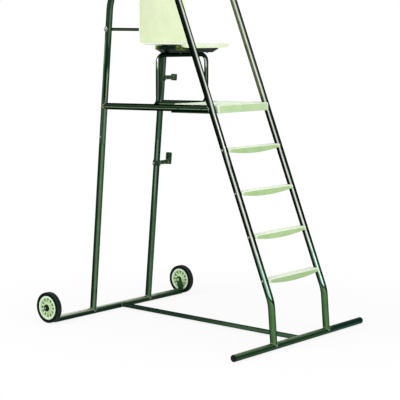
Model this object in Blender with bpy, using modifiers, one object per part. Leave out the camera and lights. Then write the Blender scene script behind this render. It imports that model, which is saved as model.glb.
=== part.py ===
# Lifeguard chair: a wheeled tower of bent steel tube with a ladder front, a footboard,
# a moulded seat and a parasol holder on one rear leg.
# Metres. +X is the way the sitter faces, +Y the sitter's left, +Z up.
# The origin lies on the floor, at the middle of the overall box.

import math

import bmesh
import bpy
from mathutils import Matrix, Vector

# Fits between pieces
FIT_GAP = 0.0003
RUNNING_GAP = 0.00005
AXIAL_PLAY = 0.0003
CUT_MARGIN = 0.002
MERGE_DISTANCE = 0.00001

# Main tube, shared by hoops, legs, rails and base bars
TUBE_DIAMETER = 0.043
TUBE_WALL = 0.002
TUBE_FACETS = 16
MITRE_STOP = 0.010

# Base on the floor
BASE_LENGTH = 1.5226
FRONT_BAR_LENGTH = 1.298
REAR_BAR_LENGTH = 1.232
SPINE_DIAMETER = 0.030
SPINE_WALL = 0.002

# Side hoops: rear leg, arch over the sitter, ladder stile and front foot in one bent tube
FRAME_SPACING = 0.540
REAR_LEAN = math.radians(5.23)
STILE_LEAN = math.radians(22.28)
FOOT_LEAN = math.radians(4.8)
FOOT_BEND_HEIGHT = 0.2787
FOOT_BEND_RADIUS = 0.250
FOOT_BEND_STEPS = 4
ARCH_RADIUS = 0.300
ARCH_STEPS = 14

# Joint between the lower rear leg and the hoop
LEG_JOINT_DROP = 0.254
SPIGOT_LENGTH = 0.160
SPIGOT_WALL = 0.003
SPIGOT_SCREW_OFFSET = 0.047

# Ladder treads
TREAD_COUNT = 4
FIRST_TREAD_HEIGHT = 0.4144
TREAD_PITCH = 0.2528
TREAD_DEPTH = 0.066
TREAD_NOSE = 0.0275
TREAD_MIDDLE_DEEP = 0.040
TREAD_END_DEEP = 0.020
TREAD_WRAP = 0.008
TREAD_EDGE_ROUND = 0.006
TREAD_ARC_STEPS = 12
TREAD_BOLT_DROP = 0.010

# Moulded plastic boards
BOARD_SKIN = 0.004
BOARD_END_BLOCK = 0.040

# Footboard, the fifth step, between the rails
FOOTBOARD_DEPTH = 0.358
FOOTBOARD_NOSE = 0.031
FOOTBOARD_THICK = 0.049
FOOTBOARD_EDGE_ROUND = 0.006
FOOTBOARD_BOLT_INSET = 0.070
FOOTBOARD_RISE = 0.004
RAIL_BELOW_FOOTBOARD = 0.0276
RAIL_RISE = 0.014
BEARER_WIDTH = 0.010
BEARER_BITE = 0.0015
BEARER_DROP = 0.009

# Seat frame: an inverted U whose feet turn back along the rails
SEAT_TUBE_DIAMETER = 0.028
SEAT_TUBE_WALL = 0.002
SEAT_TUBE_FACETS = 12
SEAT_FRAME_SETBACK = 0.474
SEAT_FRAME_RISE = 0.326
SEAT_FRAME_BEND = 0.050
SEAT_FOOT_BEND = 0.055
SEAT_FOOT_LENGTH = 0.110
SEAT_BEND_STEPS = 5

# Pressed steel saddle between seat frame and seat
SADDLE_FORWARD = 0.0375
SADDLE_BASE_LENGTH = 0.140
SADDLE_BASE_WIDTH = 0.330
SADDLE_TOP_LENGTH = 0.176
SADDLE_TOP_WIDTH = 0.394
SADDLE_FLANGE = 0.008
SADDLE_FLANGE_RISE = 0.021
SADDLE_DEPTH = 0.043
SADDLE_SHEET = 0.0025

# Moulded seat shell
SEAT_SIDE_CLEARANCE = 0.0135
SEAT_SHELL_THICK = 0.005
SEAT_PAN_LENGTH = 0.390
SEAT_FRONT_REACH = 0.196
SEAT_LIP_DROP = 0.022
SEAT_LIP_RADIUS = 0.016
SEAT_BACK_HEIGHT = 0.385
SEAT_BACK_LEAN = math.radians(3.0)
SEAT_BACK_BEND = 0.050
SEAT_TOP_ROLL = 0.018
SEAT_TOP_RADIUS = 0.014
SEAT_BACK_WRAP = 0.040
SEAT_PAN_DISH = 0.008
SEAT_BACK_TAPER = 0.10
SEAT_WRAP_POWER = 4
SEAT_CROSS_STEPS = 14
SEAT_LIP_STEPS = 4
SEAT_BACK_BEND_STEPS = 6
SEAT_TOP_STEPS = 3
SEAT_BOSS_DIAMETER = 0.018
SEAT_SCREW_SPREAD = 0.260
SEAT_SCREW_EDGE = 0.011

# Tie rod between the rear legs, behind the backrest
TIE_ROD_DIAMETER = 0.020
TIE_ROD_DROP = 0.116
TIE_NUT_ACROSS = 0.029
TIE_NUT_HEIGHT = 0.012
TIE_NUT_ROOF = 0.003

# Parasol holder on the left rear leg
CUP_BELOW_JOINT = 0.166
RING_SHARE_TO_TIE_ROD = 0.3404
PARASOL_OFFSET = 0.121
COLLAR_WALL = 0.006
CUP_COLLAR_HEIGHT = 0.034
RING_COLLAR_HEIGHT = 0.034
PARASOL_ARM_DIAMETER = 0.029
CUP_OUTSIDE = 0.043
CUP_WALL = 0.003
CUP_FLOOR = 0.005
CUP_BELOW_ARM = 0.015
CUP_ABOVE_ARM = 0.063
RING_HEIGHT = 0.042
PARASOL_FACETS = 16

# Wheels at the ends of the rear bar
WHEEL_DIAMETER = 0.200
WHEEL_WIDTH = 0.040
WHEEL_FLOOR_CLEARANCE = 0.001
WHEEL_FACETS = 32
AXLE_SETBACK = 0.020
AXLE_DIAMETER = 0.012
AXLE_FACETS = 16
AXLE_OVERRUN = 0.002
AXLE_HEAD_ACROSS = 0.020
AXLE_HEAD_HEIGHT = 0.008
AXLE_NUT_HEIGHT = 0.010
WHEEL_PLATE_THICK = 0.006
WHEEL_PLATE_TOP = 0.0235
WHEEL_PLATE_SHRINK = 0.001
HUB_STAND_OFF = 0.004
HUB_WASHER_DIAMETER = 0.046
WASHER_THICK = 0.003
TYRE_DEPTH = 0.0225
TYRE_SHOULDER = 0.004
TYRE_CROWN = 0.0012
TYRE_CROWN_SIDE = 0.0015
RIM_INSET = 0.002
RIM_LIP = 0.013
HUB_DIAMETER = 0.049
BUSH_WALL = 0.0025
WEB_RECESS = 0.008
POCKET_COUNT = 12
POCKET_DEPTH = 0.009
POCKET_RIB = 0.012
POCKET_MARGIN = 0.004
POCKET_INNER_MARGIN = 0.0145
POCKET_ARC_STEPS = 2

# End plugs of the front bar
PLUG_FLANGE = 0.004
PLUG_INSERT = 0.025
PLUG_WALL = 0.003

# Fasteners
SMALL_BOLT_DIAMETER = 0.006
SMALL_HEAD_DIAMETER = 0.013
SMALL_HEAD_HEIGHT = 0.0045
BOLT_FACETS = 8
BOLT_BITE = 0.020
SCREW_BITE = 0.009
DOME_SHARE = 0.6
HEX_SIDES = 6

# Finishes: linear base colour, metallic, roughness
STEEL = ((0.62, 0.66, 0.62), 1.0, 0.12)
DARK_STEEL = ((0.10, 0.13, 0.10), 1.0, 0.30)
BRIGHT_STEEL = ((0.80, 0.82, 0.80), 1.0, 0.20)
WHITE_PLASTIC = ((0.80, 0.90, 0.68), 0.0, 0.45)
RIM_PLASTIC = ((0.70, 0.88, 0.58), 0.0, 0.45)
BLACK_PLASTIC = ((0.02, 0.022, 0.02), 0.0, 0.50)
BLACK_RUBBER = ((0.015, 0.018, 0.016), 0.0, 0.75)
SMOOTH_ANGLE = math.radians(35)
ROUND_ANGLE = math.radians(50)
ROUND_SEGMENTS = 2

# Derived places
TUBE_RADIUS = TUBE_DIAMETER / 2
BASE_HEIGHT = TUBE_RADIUS * math.cos(math.pi / TUBE_FACETS)
HEX_COS = math.cos(math.pi / HEX_SIDES)
HALF_SPACING = FRAME_SPACING / 2
INNER_FACE = HALF_SPACING - TUBE_RADIUS
WHEEL_RADIUS = WHEEL_DIAMETER / 2
OVERALL_LENGTH = BASE_HEIGHT + BASE_LENGTH + AXLE_SETBACK + WHEEL_RADIUS
FRONT_X = OVERALL_LENGTH / 2 - BASE_HEIGHT
REAR_X = FRONT_X - BASE_LENGTH
BEND_X = FRONT_X - math.tan(FOOT_LEAN) * (FOOT_BEND_HEIGHT - BASE_HEIGHT)
FOOTBOARD_TOP = FIRST_TREAD_HEIGHT + TREAD_COUNT * TREAD_PITCH + FOOTBOARD_RISE
RAIL_HEIGHT = FOOTBOARD_TOP - RAIL_BELOW_FOOTBOARD
JOINT_HEIGHT = RAIL_HEIGHT - LEG_JOINT_DROP
CUP_ARM_HEIGHT = JOINT_HEIGHT - CUP_BELOW_JOINT
SIDES = {"right": -1, "left": 1}
X_AXIS = Vector((1, 0, 0))
Y_AXIS = Vector((0, 1, 0))
Z_AXIS = Vector((0, 0, 1))


def stile_x(height):
    return BEND_X - math.tan(STILE_LEAN) * (height - FOOT_BEND_HEIGHT)


def rear_leg_x(height):
    return REAR_X + math.tan(REAR_LEAN) * (height - BASE_HEIGHT)


def leg_direction():
    return Vector((math.sin(REAR_LEAN), 0, math.cos(REAR_LEAN)))


def hoop_apex():
    rear_slope = math.tan(REAR_LEAN)
    stile_slope = math.tan(STILE_LEAN)
    spread = BEND_X - REAR_X + stile_slope * FOOT_BEND_HEIGHT + rear_slope * BASE_HEIGHT
    height = spread / (rear_slope + stile_slope)
    return Vector((rear_leg_x(height), 0, height))


def arch_start_height():
    half_angle = (REAR_LEAN + STILE_LEAN) / 2
    return hoop_apex().z - ARCH_RADIUS / math.tan(half_angle) * math.cos(REAR_LEAN)


RAIL_REAR = Vector((rear_leg_x(RAIL_HEIGHT - RAIL_RISE / 2), 0, RAIL_HEIGHT - RAIL_RISE / 2))
RAIL_FRONT = Vector((stile_x(RAIL_HEIGHT + RAIL_RISE / 2), 0, RAIL_HEIGHT + RAIL_RISE / 2))


def rail_point(x):
    return RAIL_REAR.lerp(RAIL_FRONT, (x - RAIL_REAR.x) / (RAIL_FRONT.x - RAIL_REAR.x))


SEAT_FRAME_X = stile_x(RAIL_HEIGHT) - SEAT_FRAME_SETBACK
SEAT_FRAME_TOP = RAIL_HEIGHT + SEAT_FRAME_RISE
SEAT_TUBE_RADIUS = SEAT_TUBE_DIAMETER / 2
SEAT_LEG_Y = INNER_FACE - FIT_GAP - SEAT_TUBE_RADIUS
SADDLE_X = SEAT_FRAME_X + SADDLE_FORWARD
SADDLE_FLOOR = SEAT_FRAME_TOP + SEAT_TUBE_RADIUS + FIT_GAP + SADDLE_SHEET
FLANGE_TOP = SADDLE_FLOOR + SADDLE_FLANGE_RISE
SADDLE_TOP = SADDLE_FLOOR + SADDLE_DEPTH
PAN_UNDERSIDE = SADDLE_TOP + FIT_GAP
TIE_ROD_HEIGHT = arch_start_height() - TIE_ROD_DROP
RING_ARM_HEIGHT = RAIL_HEIGHT + RING_SHARE_TO_TIE_ROD * (TIE_ROD_HEIGHT - RAIL_HEIGHT)
TIE_ROD_RADIUS = TIE_ROD_DIAMETER / 2
SMALL_RADIUS = SMALL_BOLT_DIAMETER / 2
AXLE_RADIUS = AXLE_DIAMETER / 2
AXLE_X = REAR_X - AXLE_SETBACK
AXLE_HEIGHT = WHEEL_RADIUS + WHEEL_FLOOR_CLEARANCE
PLATE_INNER = REAR_BAR_LENGTH / 2 + FIT_GAP
PLATE_OUTER = PLATE_INNER + WHEEL_PLATE_THICK
HUB_START = PLATE_OUTER + AXIAL_PLAY
WHEEL_MIDDLE = HUB_START + HUB_STAND_OFF + WHEEL_WIDTH / 2
HUB_WASHER_START = WHEEL_MIDDLE + WHEEL_WIDTH / 2 + AXIAL_PLAY
AXLE_NUT_START = HUB_WASHER_START + WASHER_THICK + FIT_GAP
AXLE_END = AXLE_NUT_START + AXLE_NUT_HEIGHT + AXLE_OVERRUN


# Scene and material helpers

def clear_scene():
    for item in list(bpy.data.objects):
        bpy.data.objects.remove(item, do_unlink=True)


def new_collection(name):
    collection = bpy.data.collections.new(name)
    bpy.context.scene.collection.children.link(collection)
    return collection


def dress(item, finish):
    colour, metallic, roughness = finish
    surface = bpy.data.materials.new(item.name)
    surface.use_nodes = True
    shader = surface.node_tree.nodes["Principled BSDF"]
    shader.inputs["Base Color"].default_value = (*colour, 1.0)
    shader.inputs["Metallic"].default_value = metallic
    shader.inputs["Roughness"].default_value = roughness
    item.data.materials.clear()
    item.data.materials.append(surface)


def add_part(name, mesh, finish):
    mesh.shade_smooth()
    mesh.set_sharp_from_angle(angle=SMOOTH_ANGLE)
    item = bpy.data.objects.new(name, mesh)
    PARTS.objects.link(item)
    dress(item, finish)
    return item


def add_cutter(name, mesh):
    item = bpy.data.objects.new(name, mesh)
    item.hide_render = True
    item.display_type = "WIRE"
    CUTTERS.objects.link(item)
    return item


def mesh_from(bm, name):
    mesh = bpy.data.meshes.new(name)
    bm.to_mesh(mesh)
    bm.free()
    return mesh


def hollow(item, wall):
    shell = item.modifiers.new("Wall", "SOLIDIFY")
    shell.thickness = wall
    shell.offset = -1
    shell.use_even_offset = True


def combine(item, tool, operation):
    step = item.modifiers.new(tool.name, "BOOLEAN")
    step.operation = operation
    step.object = tool
    step.solver = "EXACT"


def cut(item, *tools):
    for tool in tools:
        combine(item, tool, "DIFFERENCE")


def join(item, *tools):
    for tool in tools:
        combine(item, tool, "UNION")


def round_edges(item, width):
    edge = item.modifiers.new("Rounded edges", "BEVEL")
    edge.width = width
    edge.segments = ROUND_SEGMENTS
    edge.limit_method = "ANGLE"
    edge.angle_limit = ROUND_ANGLE


def grown(radius, facets):
    return radius + FIT_GAP / math.cos(math.pi / facets)


def inside_tube(radius, wall, facets):
    return radius - (wall + FIT_GAP) / math.cos(math.pi / facets)


# Shape helpers

def axis_matrix(origin, axis, across):
    along = axis.normalized()
    side = (across - along * across.dot(along)).normalized()
    third = along.cross(side)
    matrix = Matrix((side, third, along)).transposed().to_4x4()
    matrix.translation = origin
    return matrix


def straight_mesh(name, start, end, radius, facets, vertex_toward, caps):
    bm = bmesh.new()
    matrix = axis_matrix((start + end) / 2, end - start, vertex_toward)
    bmesh.ops.create_cone(bm, cap_ends=caps, segments=facets, radius1=radius, radius2=radius,
                          depth=(end - start).length, matrix=matrix)
    return mesh_from(bm, name)


def rounded_path(corners, radii, steps):
    points = [corners[0]]
    for before, corner, after, radius, count in zip(corners, corners[1:], corners[2:], radii, steps):
        back = (before - corner).normalized()
        ahead = (after - corner).normalized()
        half = back.angle(ahead) / 2
        bisector = (back + ahead).normalized()
        centre = corner + bisector * radius / math.sin(half)
        first = corner + back * radius / math.tan(half) - centre
        last = corner + ahead * radius / math.tan(half) - centre
        turn = first.angle(last)
        normal = first.cross(last).normalized()
        for step in range(count + 1):
            points.append(centre + Matrix.Rotation(turn * step / count, 3, normal) @ first)
    points.append(corners[-1])
    return points


def bent_mesh(name, points, radius, facets, caps):
    curve = bpy.data.curves.new(name, "CURVE")
    curve.dimensions = "3D"
    curve.twist_mode = "MINIMUM"
    curve.bevel_depth = radius
    curve.bevel_resolution = (facets - 4) // 2
    curve.use_fill_caps = caps
    spline = curve.splines.new("POLY")
    spline.points.add(len(points) - 1)
    for point, place in zip(spline.points, points):
        point.co = (*place, 1)
    return mesh_of_curve(name, curve)


def outline_mesh(name, outline, thickness, matrix):
    curve = bpy.data.curves.new(name, "CURVE")
    curve.dimensions = "2D"
    curve.fill_mode = "BOTH"
    curve.extrude = thickness / 2
    spline = curve.splines.new("POLY")
    spline.points.add(len(outline) - 1)
    for point, place in zip(spline.points, outline):
        point.co = (*place, 0, 1)
    spline.use_cyclic_u = True
    mesh = mesh_of_curve(name, curve)
    mesh.transform(matrix)
    return mesh


def mesh_of_curve(name, curve):
    holder = bpy.data.objects.new(name, curve)
    PARTS.objects.link(holder)
    graph = bpy.context.evaluated_depsgraph_get()
    mesh = bpy.data.meshes.new_from_object(holder.evaluated_get(graph))
    bpy.data.objects.remove(holder)
    bm = bmesh.new()
    bm.from_mesh(mesh)
    bmesh.ops.remove_doubles(bm, verts=bm.verts, dist=MERGE_DISTANCE)
    bmesh.ops.recalc_face_normals(bm, faces=bm.faces)
    bm.to_mesh(mesh)
    bm.free()
    mesh.materials.clear()
    mesh.name = name
    return mesh


def add_turned(bm, profile, matrix, facets):
    piece = bmesh.new()
    verts = [piece.verts.new((radius, 0, along)) for radius, along in profile]
    edges = [piece.edges.new(pair) for pair in zip(verts, verts[1:])]
    if profile[0][0] > 0:
        edges.append(piece.edges.new((verts[-1], verts[0])))
    bmesh.ops.spin(piece, geom=verts + edges, cent=(0, 0, 0), axis=Z_AXIS, angle=math.tau,
                   steps=facets, use_merge=True)
    bmesh.ops.remove_doubles(piece, verts=piece.verts, dist=MERGE_DISTANCE)
    bmesh.ops.recalc_face_normals(piece, faces=piece.faces)
    piece.transform(matrix)
    add_bmesh(bm, piece)


def add_bmesh(bm, piece):
    mesh = mesh_from(piece, "piece")
    bm.from_mesh(mesh)
    bpy.data.meshes.remove(mesh)


def turned_mesh(name, profile, matrix, facets):
    bm = bmesh.new()
    add_turned(bm, profile, matrix, facets)
    return mesh_from(bm, name)


def box_mesh(name, low, high):
    bm = bmesh.new()
    size = Vector(high) - Vector(low)
    middle = (Vector(high) + Vector(low)) / 2
    bmesh.ops.create_cube(bm, size=1, matrix=Matrix.Translation(middle) @ Matrix.Diagonal((*size, 1)))
    return mesh_from(bm, name)


def disc_profile(radius, start, end):
    return [(0, start), (radius, start), (radius, end), (0, end)]


def ring_profile(inner, outer, start, end):
    return [(inner, start), (outer, start), (outer, end), (inner, end)]


# Fasteners: each seat has a label, the point under the head and the direction that the shank runs

def bolt_profile(length):
    head = SMALL_HEAD_DIAMETER / 2
    return [(0, -SMALL_HEAD_HEIGHT), (head * DOME_SHARE, -SMALL_HEAD_HEIGHT),
            (head, -SMALL_HEAD_HEIGHT * (1 - DOME_SHARE)), (head, 0), (SMALL_RADIUS, 0),
            (SMALL_RADIUS, length), (0, length)]


def add_fasteners(kind, seats, length):
    holes = bmesh.new()
    for label, place, direction in seats:
        name = kind + "_" + label
        matrix = axis_matrix(place, direction, X_AXIS)
        add_part(name, turned_mesh(name, bolt_profile(length), matrix, BOLT_FACETS), BRIGHT_STEEL)
        hole = disc_profile(grown(SMALL_RADIUS, BOLT_FACETS), -FIT_GAP / 2, length + FIT_GAP)
        add_turned(holes, hole, matrix, BOLT_FACETS)
    return add_cutter(kind + "_holes", mesh_from(holes, kind + "_holes"))


# Sub-parts

def hoop_points(sign, start_gap):
    offset = Vector((0, sign * HALF_SPACING, 0))
    joint = Vector((rear_leg_x(JOINT_HEIGHT), 0, JOINT_HEIGHT)) + leg_direction() * start_gap
    bend = Vector((BEND_X, 0, FOOT_BEND_HEIGHT))
    bar = Vector((FRONT_X, 0, BASE_HEIGHT))
    corners = [joint, hoop_apex(), bend, bar + (bend - bar).normalized() * MITRE_STOP]
    path = rounded_path(corners, [ARCH_RADIUS, FOOT_BEND_RADIUS], [ARCH_STEPS, FOOT_BEND_STEPS])
    return [point + offset for point in path]


def build_envelopes():
    tools = {}
    radius = grown(TUBE_RADIUS, TUBE_FACETS)
    for side, sign in SIDES.items():
        name = "hoop_space_" + side
        tools[name] = add_cutter(name, bent_mesh(name, hoop_points(sign, 0), radius, TUBE_FACETS, True))
        name = "leg_space_" + side
        tools[name] = add_cutter(name, leg_mesh(name, sign, 0, radius, True))
    for name, x, length in (("front_bar_space", FRONT_X, FRONT_BAR_LENGTH),
                            ("rear_bar_space", REAR_X, REAR_BAR_LENGTH)):
        tools[name] = add_cutter(name, base_bar_mesh(name, x, length, radius, True))
    return tools


def base_bar_mesh(name, x, length, radius, caps):
    start = Vector((x, -length / 2, BASE_HEIGHT))
    end = Vector((x, length / 2, BASE_HEIGHT))
    return straight_mesh(name, start, end, radius, TUBE_FACETS, facet_down(), caps)


def facet_down():
    return Matrix.Rotation(math.pi / TUBE_FACETS, 3, Y_AXIS) @ -Z_AXIS


def leg_mesh(name, sign, end_gap, radius, caps):
    foot = Vector((REAR_X, sign * HALF_SPACING, BASE_HEIGHT))
    joint = Vector((rear_leg_x(JOINT_HEIGHT), sign * HALF_SPACING, JOINT_HEIGHT))
    top = joint - leg_direction() * end_gap
    return straight_mesh(name, foot + leg_direction() * MITRE_STOP, top, radius, TUBE_FACETS, Y_AXIS, caps)


def build_base(tools):
    for name, x, length in (("front_base_bar", FRONT_X, FRONT_BAR_LENGTH),
                            ("rear_base_bar", REAR_X, REAR_BAR_LENGTH)):
        bar = add_part(name, base_bar_mesh(name, x, length, TUBE_RADIUS, False), STEEL)
        hollow(bar, TUBE_WALL)
    start = Vector((REAR_X, 0, BASE_HEIGHT))
    end = Vector((FRONT_X, 0, BASE_HEIGHT))
    mesh = straight_mesh("centre_spine", start, end, SPINE_DIAMETER / 2, TUBE_FACETS, Z_AXIS, False)
    spine = add_part("centre_spine", mesh, STEEL)
    hollow(spine, SPINE_WALL)
    cut(spine, tools["front_bar_space"], tools["rear_bar_space"])


def build_plugs():
    insert = inside_tube(TUBE_RADIUS, TUBE_WALL, TUBE_FACETS)
    profile = [(0, -PLUG_FLANGE), (TUBE_RADIUS, -PLUG_FLANGE), (TUBE_RADIUS, 0), (insert, 0),
               (insert, PLUG_INSERT), (insert - PLUG_WALL, PLUG_INSERT), (insert - PLUG_WALL, 0), (0, 0)]
    for side, sign in SIDES.items():
        seat = Vector((FRONT_X, sign * (FRONT_BAR_LENGTH / 2 + FIT_GAP), BASE_HEIGHT))
        matrix = axis_matrix(seat, Y_AXIS * -sign, facet_down())
        name = "bar_plug_" + side
        add_part(name, turned_mesh(name, profile, matrix, TUBE_FACETS), BLACK_PLASTIC)


def build_side_frames(tools):
    for side, sign in SIDES.items():
        mesh = bent_mesh("hoop_" + side, hoop_points(sign, FIT_GAP / 2), TUBE_RADIUS, TUBE_FACETS, False)
        hoop = add_part("hoop_" + side, mesh, STEEL)
        hollow(hoop, TUBE_WALL)
        cut(hoop, tools["front_bar_space"], tools["tread_bolts"])
        cut(hoop, tools["tie_rod_hole"], tools["spigot_screws"])
        mesh = leg_mesh("rear_leg_" + side, sign, FIT_GAP / 2, TUBE_RADIUS, False)
        leg = add_part("rear_leg_" + side, mesh, STEEL)
        hollow(leg, TUBE_WALL)
        cut(leg, tools["rear_bar_space"])
        build_spigot(side, sign, tools)
        build_rail(side, sign, tools)


def spigot_screw_seats():
    seats = []
    for side, sign in SIDES.items():
        joint = Vector((rear_leg_x(JOINT_HEIGHT), sign * HALF_SPACING, JOINT_HEIGHT))
        place = joint + leg_direction() * SPIGOT_SCREW_OFFSET + Y_AXIS * sign * (TUBE_RADIUS + FIT_GAP)
        seats.append((side, place, Y_AXIS * -sign))
    return seats


def build_spigot(side, sign, tools):
    joint = Vector((rear_leg_x(JOINT_HEIGHT), sign * HALF_SPACING, JOINT_HEIGHT))
    reach = leg_direction() * SPIGOT_LENGTH / 2
    radius = inside_tube(TUBE_RADIUS, TUBE_WALL, TUBE_FACETS)
    name = "leg_spigot_" + side
    mesh = straight_mesh(name, joint - reach, joint + reach, radius, TUBE_FACETS, Y_AXIS, False)
    spigot = add_part(name, mesh, DARK_STEEL)
    hollow(spigot, SPIGOT_WALL)
    cut(spigot, tools["spigot_screws"])


def build_rail(side, sign, tools):
    offset = Y_AXIS * sign * HALF_SPACING
    start = rail_point(RAIL_REAR.x + MITRE_STOP) + offset
    end = rail_point(RAIL_FRONT.x - MITRE_STOP) + offset
    mesh = straight_mesh("rail_" + side, start, end, TUBE_RADIUS, TUBE_FACETS, Y_AXIS, False)
    rail = add_part("rail_" + side, mesh, STEEL)
    hollow(rail, TUBE_WALL)
    join(rail, build_bearer("bearer_" + side, offset))
    cut(rail, tools["hoop_space_" + side], tools["footboard_bolts"])


def build_bearer(name, offset):
    start = rail_point(footboard_front() - FOOTBOARD_DEPTH) + offset
    run = RAIL_FRONT + offset - start
    low = (-BEARER_WIDTH / 2, -TUBE_RADIUS - BEARER_DROP, 0)
    high = (BEARER_WIDTH / 2, BEARER_BITE - TUBE_RADIUS, run.length)
    mesh = box_mesh(name, low, high)
    mesh.transform(axis_matrix(start, run, Y_AXIS))
    return add_cutter(name, mesh)


def tread_top(index):
    return FIRST_TREAD_HEIGHT + index * TREAD_PITCH


def tread_bolt_seats():
    seats = []
    for index in range(TREAD_COUNT):
        height = tread_top(index) - TREAD_BOLT_DROP
        for side, sign in SIDES.items():
            place = Vector((stile_x(height), sign * (HALF_SPACING + TUBE_RADIUS + FIT_GAP), height))
            seats.append((str(index + 1) + "_" + side, place, Y_AXIS * -sign))
    return seats


def tread_outline(half_width, top, middle, end):
    sag = middle - end
    radius = (half_width ** 2 + sag ** 2) / (2 * sag)
    reach = math.asin(half_width / radius)
    outline = [(-half_width, top), (half_width, top)]
    for step in range(TREAD_ARC_STEPS + 1):
        angle = reach * (1 - 2 * step / TREAD_ARC_STEPS)
        outline.append((radius * math.sin(angle), top - middle + radius * (1 - math.cos(angle))))
    return list(reversed(outline))


def build_treads(tools):
    half_width = INNER_FACE + TREAD_WRAP
    for index in range(TREAD_COUNT):
        name = "tread_" + str(index + 1)
        top = tread_top(index)
        front = stile_x(top) + TREAD_NOSE
        frame = axis_matrix(Vector((front - TREAD_DEPTH / 2, 0, 0)), X_AXIS, Y_AXIS)
        outline = tread_outline(half_width, top, TREAD_MIDDLE_DEEP, TREAD_END_DEEP)
        tread = add_part(name, outline_mesh(name, outline, TREAD_DEPTH, frame), WHITE_PLASTIC)
        round_edges(tread, TREAD_EDGE_ROUND)
        half_hollow = half_width - BOARD_END_BLOCK
        low = (front - TREAD_DEPTH + BOARD_SKIN, -half_hollow, top - TREAD_MIDDLE_DEEP - CUT_MARGIN)
        high = (front - BOARD_SKIN, half_hollow, top - BOARD_SKIN)
        underside = add_cutter(name + "_underside", box_mesh(name + "_underside", low, high))
        cut(tread, underside, tools["hoop_space_right"], tools["hoop_space_left"], tools["tread_bolts"])


def footboard_front():
    return stile_x(RAIL_HEIGHT) + FOOTBOARD_NOSE


def footboard_bolt_seats():
    rear = footboard_front() - FOOTBOARD_DEPTH
    places = {"rear": rear + FOOTBOARD_BOLT_INSET, "front": stile_x(RAIL_HEIGHT) - FOOTBOARD_BOLT_INSET}
    seats = []
    for label, x in places.items():
        for side, sign in SIDES.items():
            place = rail_point(x) + Y_AXIS * sign * (HALF_SPACING + TUBE_RADIUS + FIT_GAP)
            seats.append((label + "_" + side, place, Y_AXIS * -sign))
    return seats


def build_footboard(tools):
    front = footboard_front()
    half_width = INNER_FACE - FIT_GAP
    low = (front - FOOTBOARD_DEPTH, -half_width, FOOTBOARD_TOP - FOOTBOARD_THICK)
    high = (front, half_width, FOOTBOARD_TOP)
    board = add_part("footboard", box_mesh("footboard", low, high), WHITE_PLASTIC)
    round_edges(board, FOOTBOARD_EDGE_ROUND)
    half_hollow = half_width - BOARD_END_BLOCK
    low = (front - FOOTBOARD_DEPTH + BOARD_SKIN, -half_hollow, low[2] - CUT_MARGIN)
    high = (front - BOARD_SKIN, half_hollow, FOOTBOARD_TOP - BOARD_SKIN)
    underside = add_cutter("footboard_underside", box_mesh("footboard_underside", low, high))
    cut(board, underside, tools["footboard_bolts"])


def build_seat_frame():
    rear = SEAT_FRAME_X - SEAT_FOOT_BEND - SEAT_FOOT_LENGTH
    side = [(rear, rail_point(rear).z), (SEAT_FRAME_X, rail_point(SEAT_FRAME_X).z), (SEAT_FRAME_X, SEAT_FRAME_TOP)]
    corners = [Vector((x, -SEAT_LEG_Y, z)) for x, z in side]
    corners += [Vector((x, SEAT_LEG_Y, z)) for x, z in reversed(side)]
    radii = [SEAT_FOOT_BEND, SEAT_FRAME_BEND, SEAT_FRAME_BEND, SEAT_FOOT_BEND]
    path = rounded_path(corners, radii, [SEAT_BEND_STEPS] * len(radii))
    mesh = bent_mesh("seat_frame", path, SEAT_TUBE_RADIUS, SEAT_TUBE_FACETS, False)
    frame = add_part("seat_frame", mesh, STEEL)
    hollow(frame, SEAT_TUBE_WALL)


def seat_screw_seats():
    height = SADDLE_FLOOR - SADDLE_SHEET - FIT_GAP
    reach = SADDLE_BASE_LENGTH / 2 - SEAT_SCREW_EDGE
    seats = []
    for end, ahead in (("rear", -1), ("front", 1)):
        for side, sign in SIDES.items():
            place = Vector((SADDLE_X + ahead * reach, sign * SEAT_SCREW_SPREAD / 2, height))
            seats.append((end + "_" + side, place, Z_AXIS))
    return seats


def build_saddle(tools):
    base = (SADDLE_BASE_LENGTH / 2, SADDLE_BASE_WIDTH / 2)
    top = (SADDLE_TOP_LENGTH / 2, SADDLE_TOP_WIDTH / 2)
    under_flange = FLANGE_TOP - SADDLE_SHEET
    levels = ((base, 0, SADDLE_FLOOR), (top, 0, FLANGE_TOP), (top, 0, SADDLE_TOP),
              (top, SADDLE_SHEET, SADDLE_TOP), (top, SADDLE_SHEET, FLANGE_TOP),
              (top, SADDLE_FLANGE, FLANGE_TOP), (top, SADDLE_FLANGE, under_flange),
              (top, SADDLE_SHEET, under_flange), (base, SADDLE_SHEET, SADDLE_FLOOR - SADDLE_SHEET))
    bm = bmesh.new()
    loops = []
    for (half_length, half_width), spread, height in levels:
        x = half_length + spread
        y = half_width + spread
        corners = ((x, y), (-x, y), (-x, -y), (x, -y))
        loops.append([bm.verts.new((SADDLE_X + across, along, height)) for across, along in corners])
    bm.faces.new(loops[0])
    bm.faces.new(loops[-1])
    for first, second in zip(loops, loops[1:]):
        for a, b in zip(range(len(first)), (1, 2, 3, 0)):
            bm.faces.new((first[b], first[a], second[a], second[b]))
    bmesh.ops.recalc_face_normals(bm, faces=bm.faces)
    saddle = add_part("seat_saddle", mesh_from(bm, "seat_saddle"), DARK_STEEL)
    cut(saddle, tools["seat_screws"])


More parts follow.
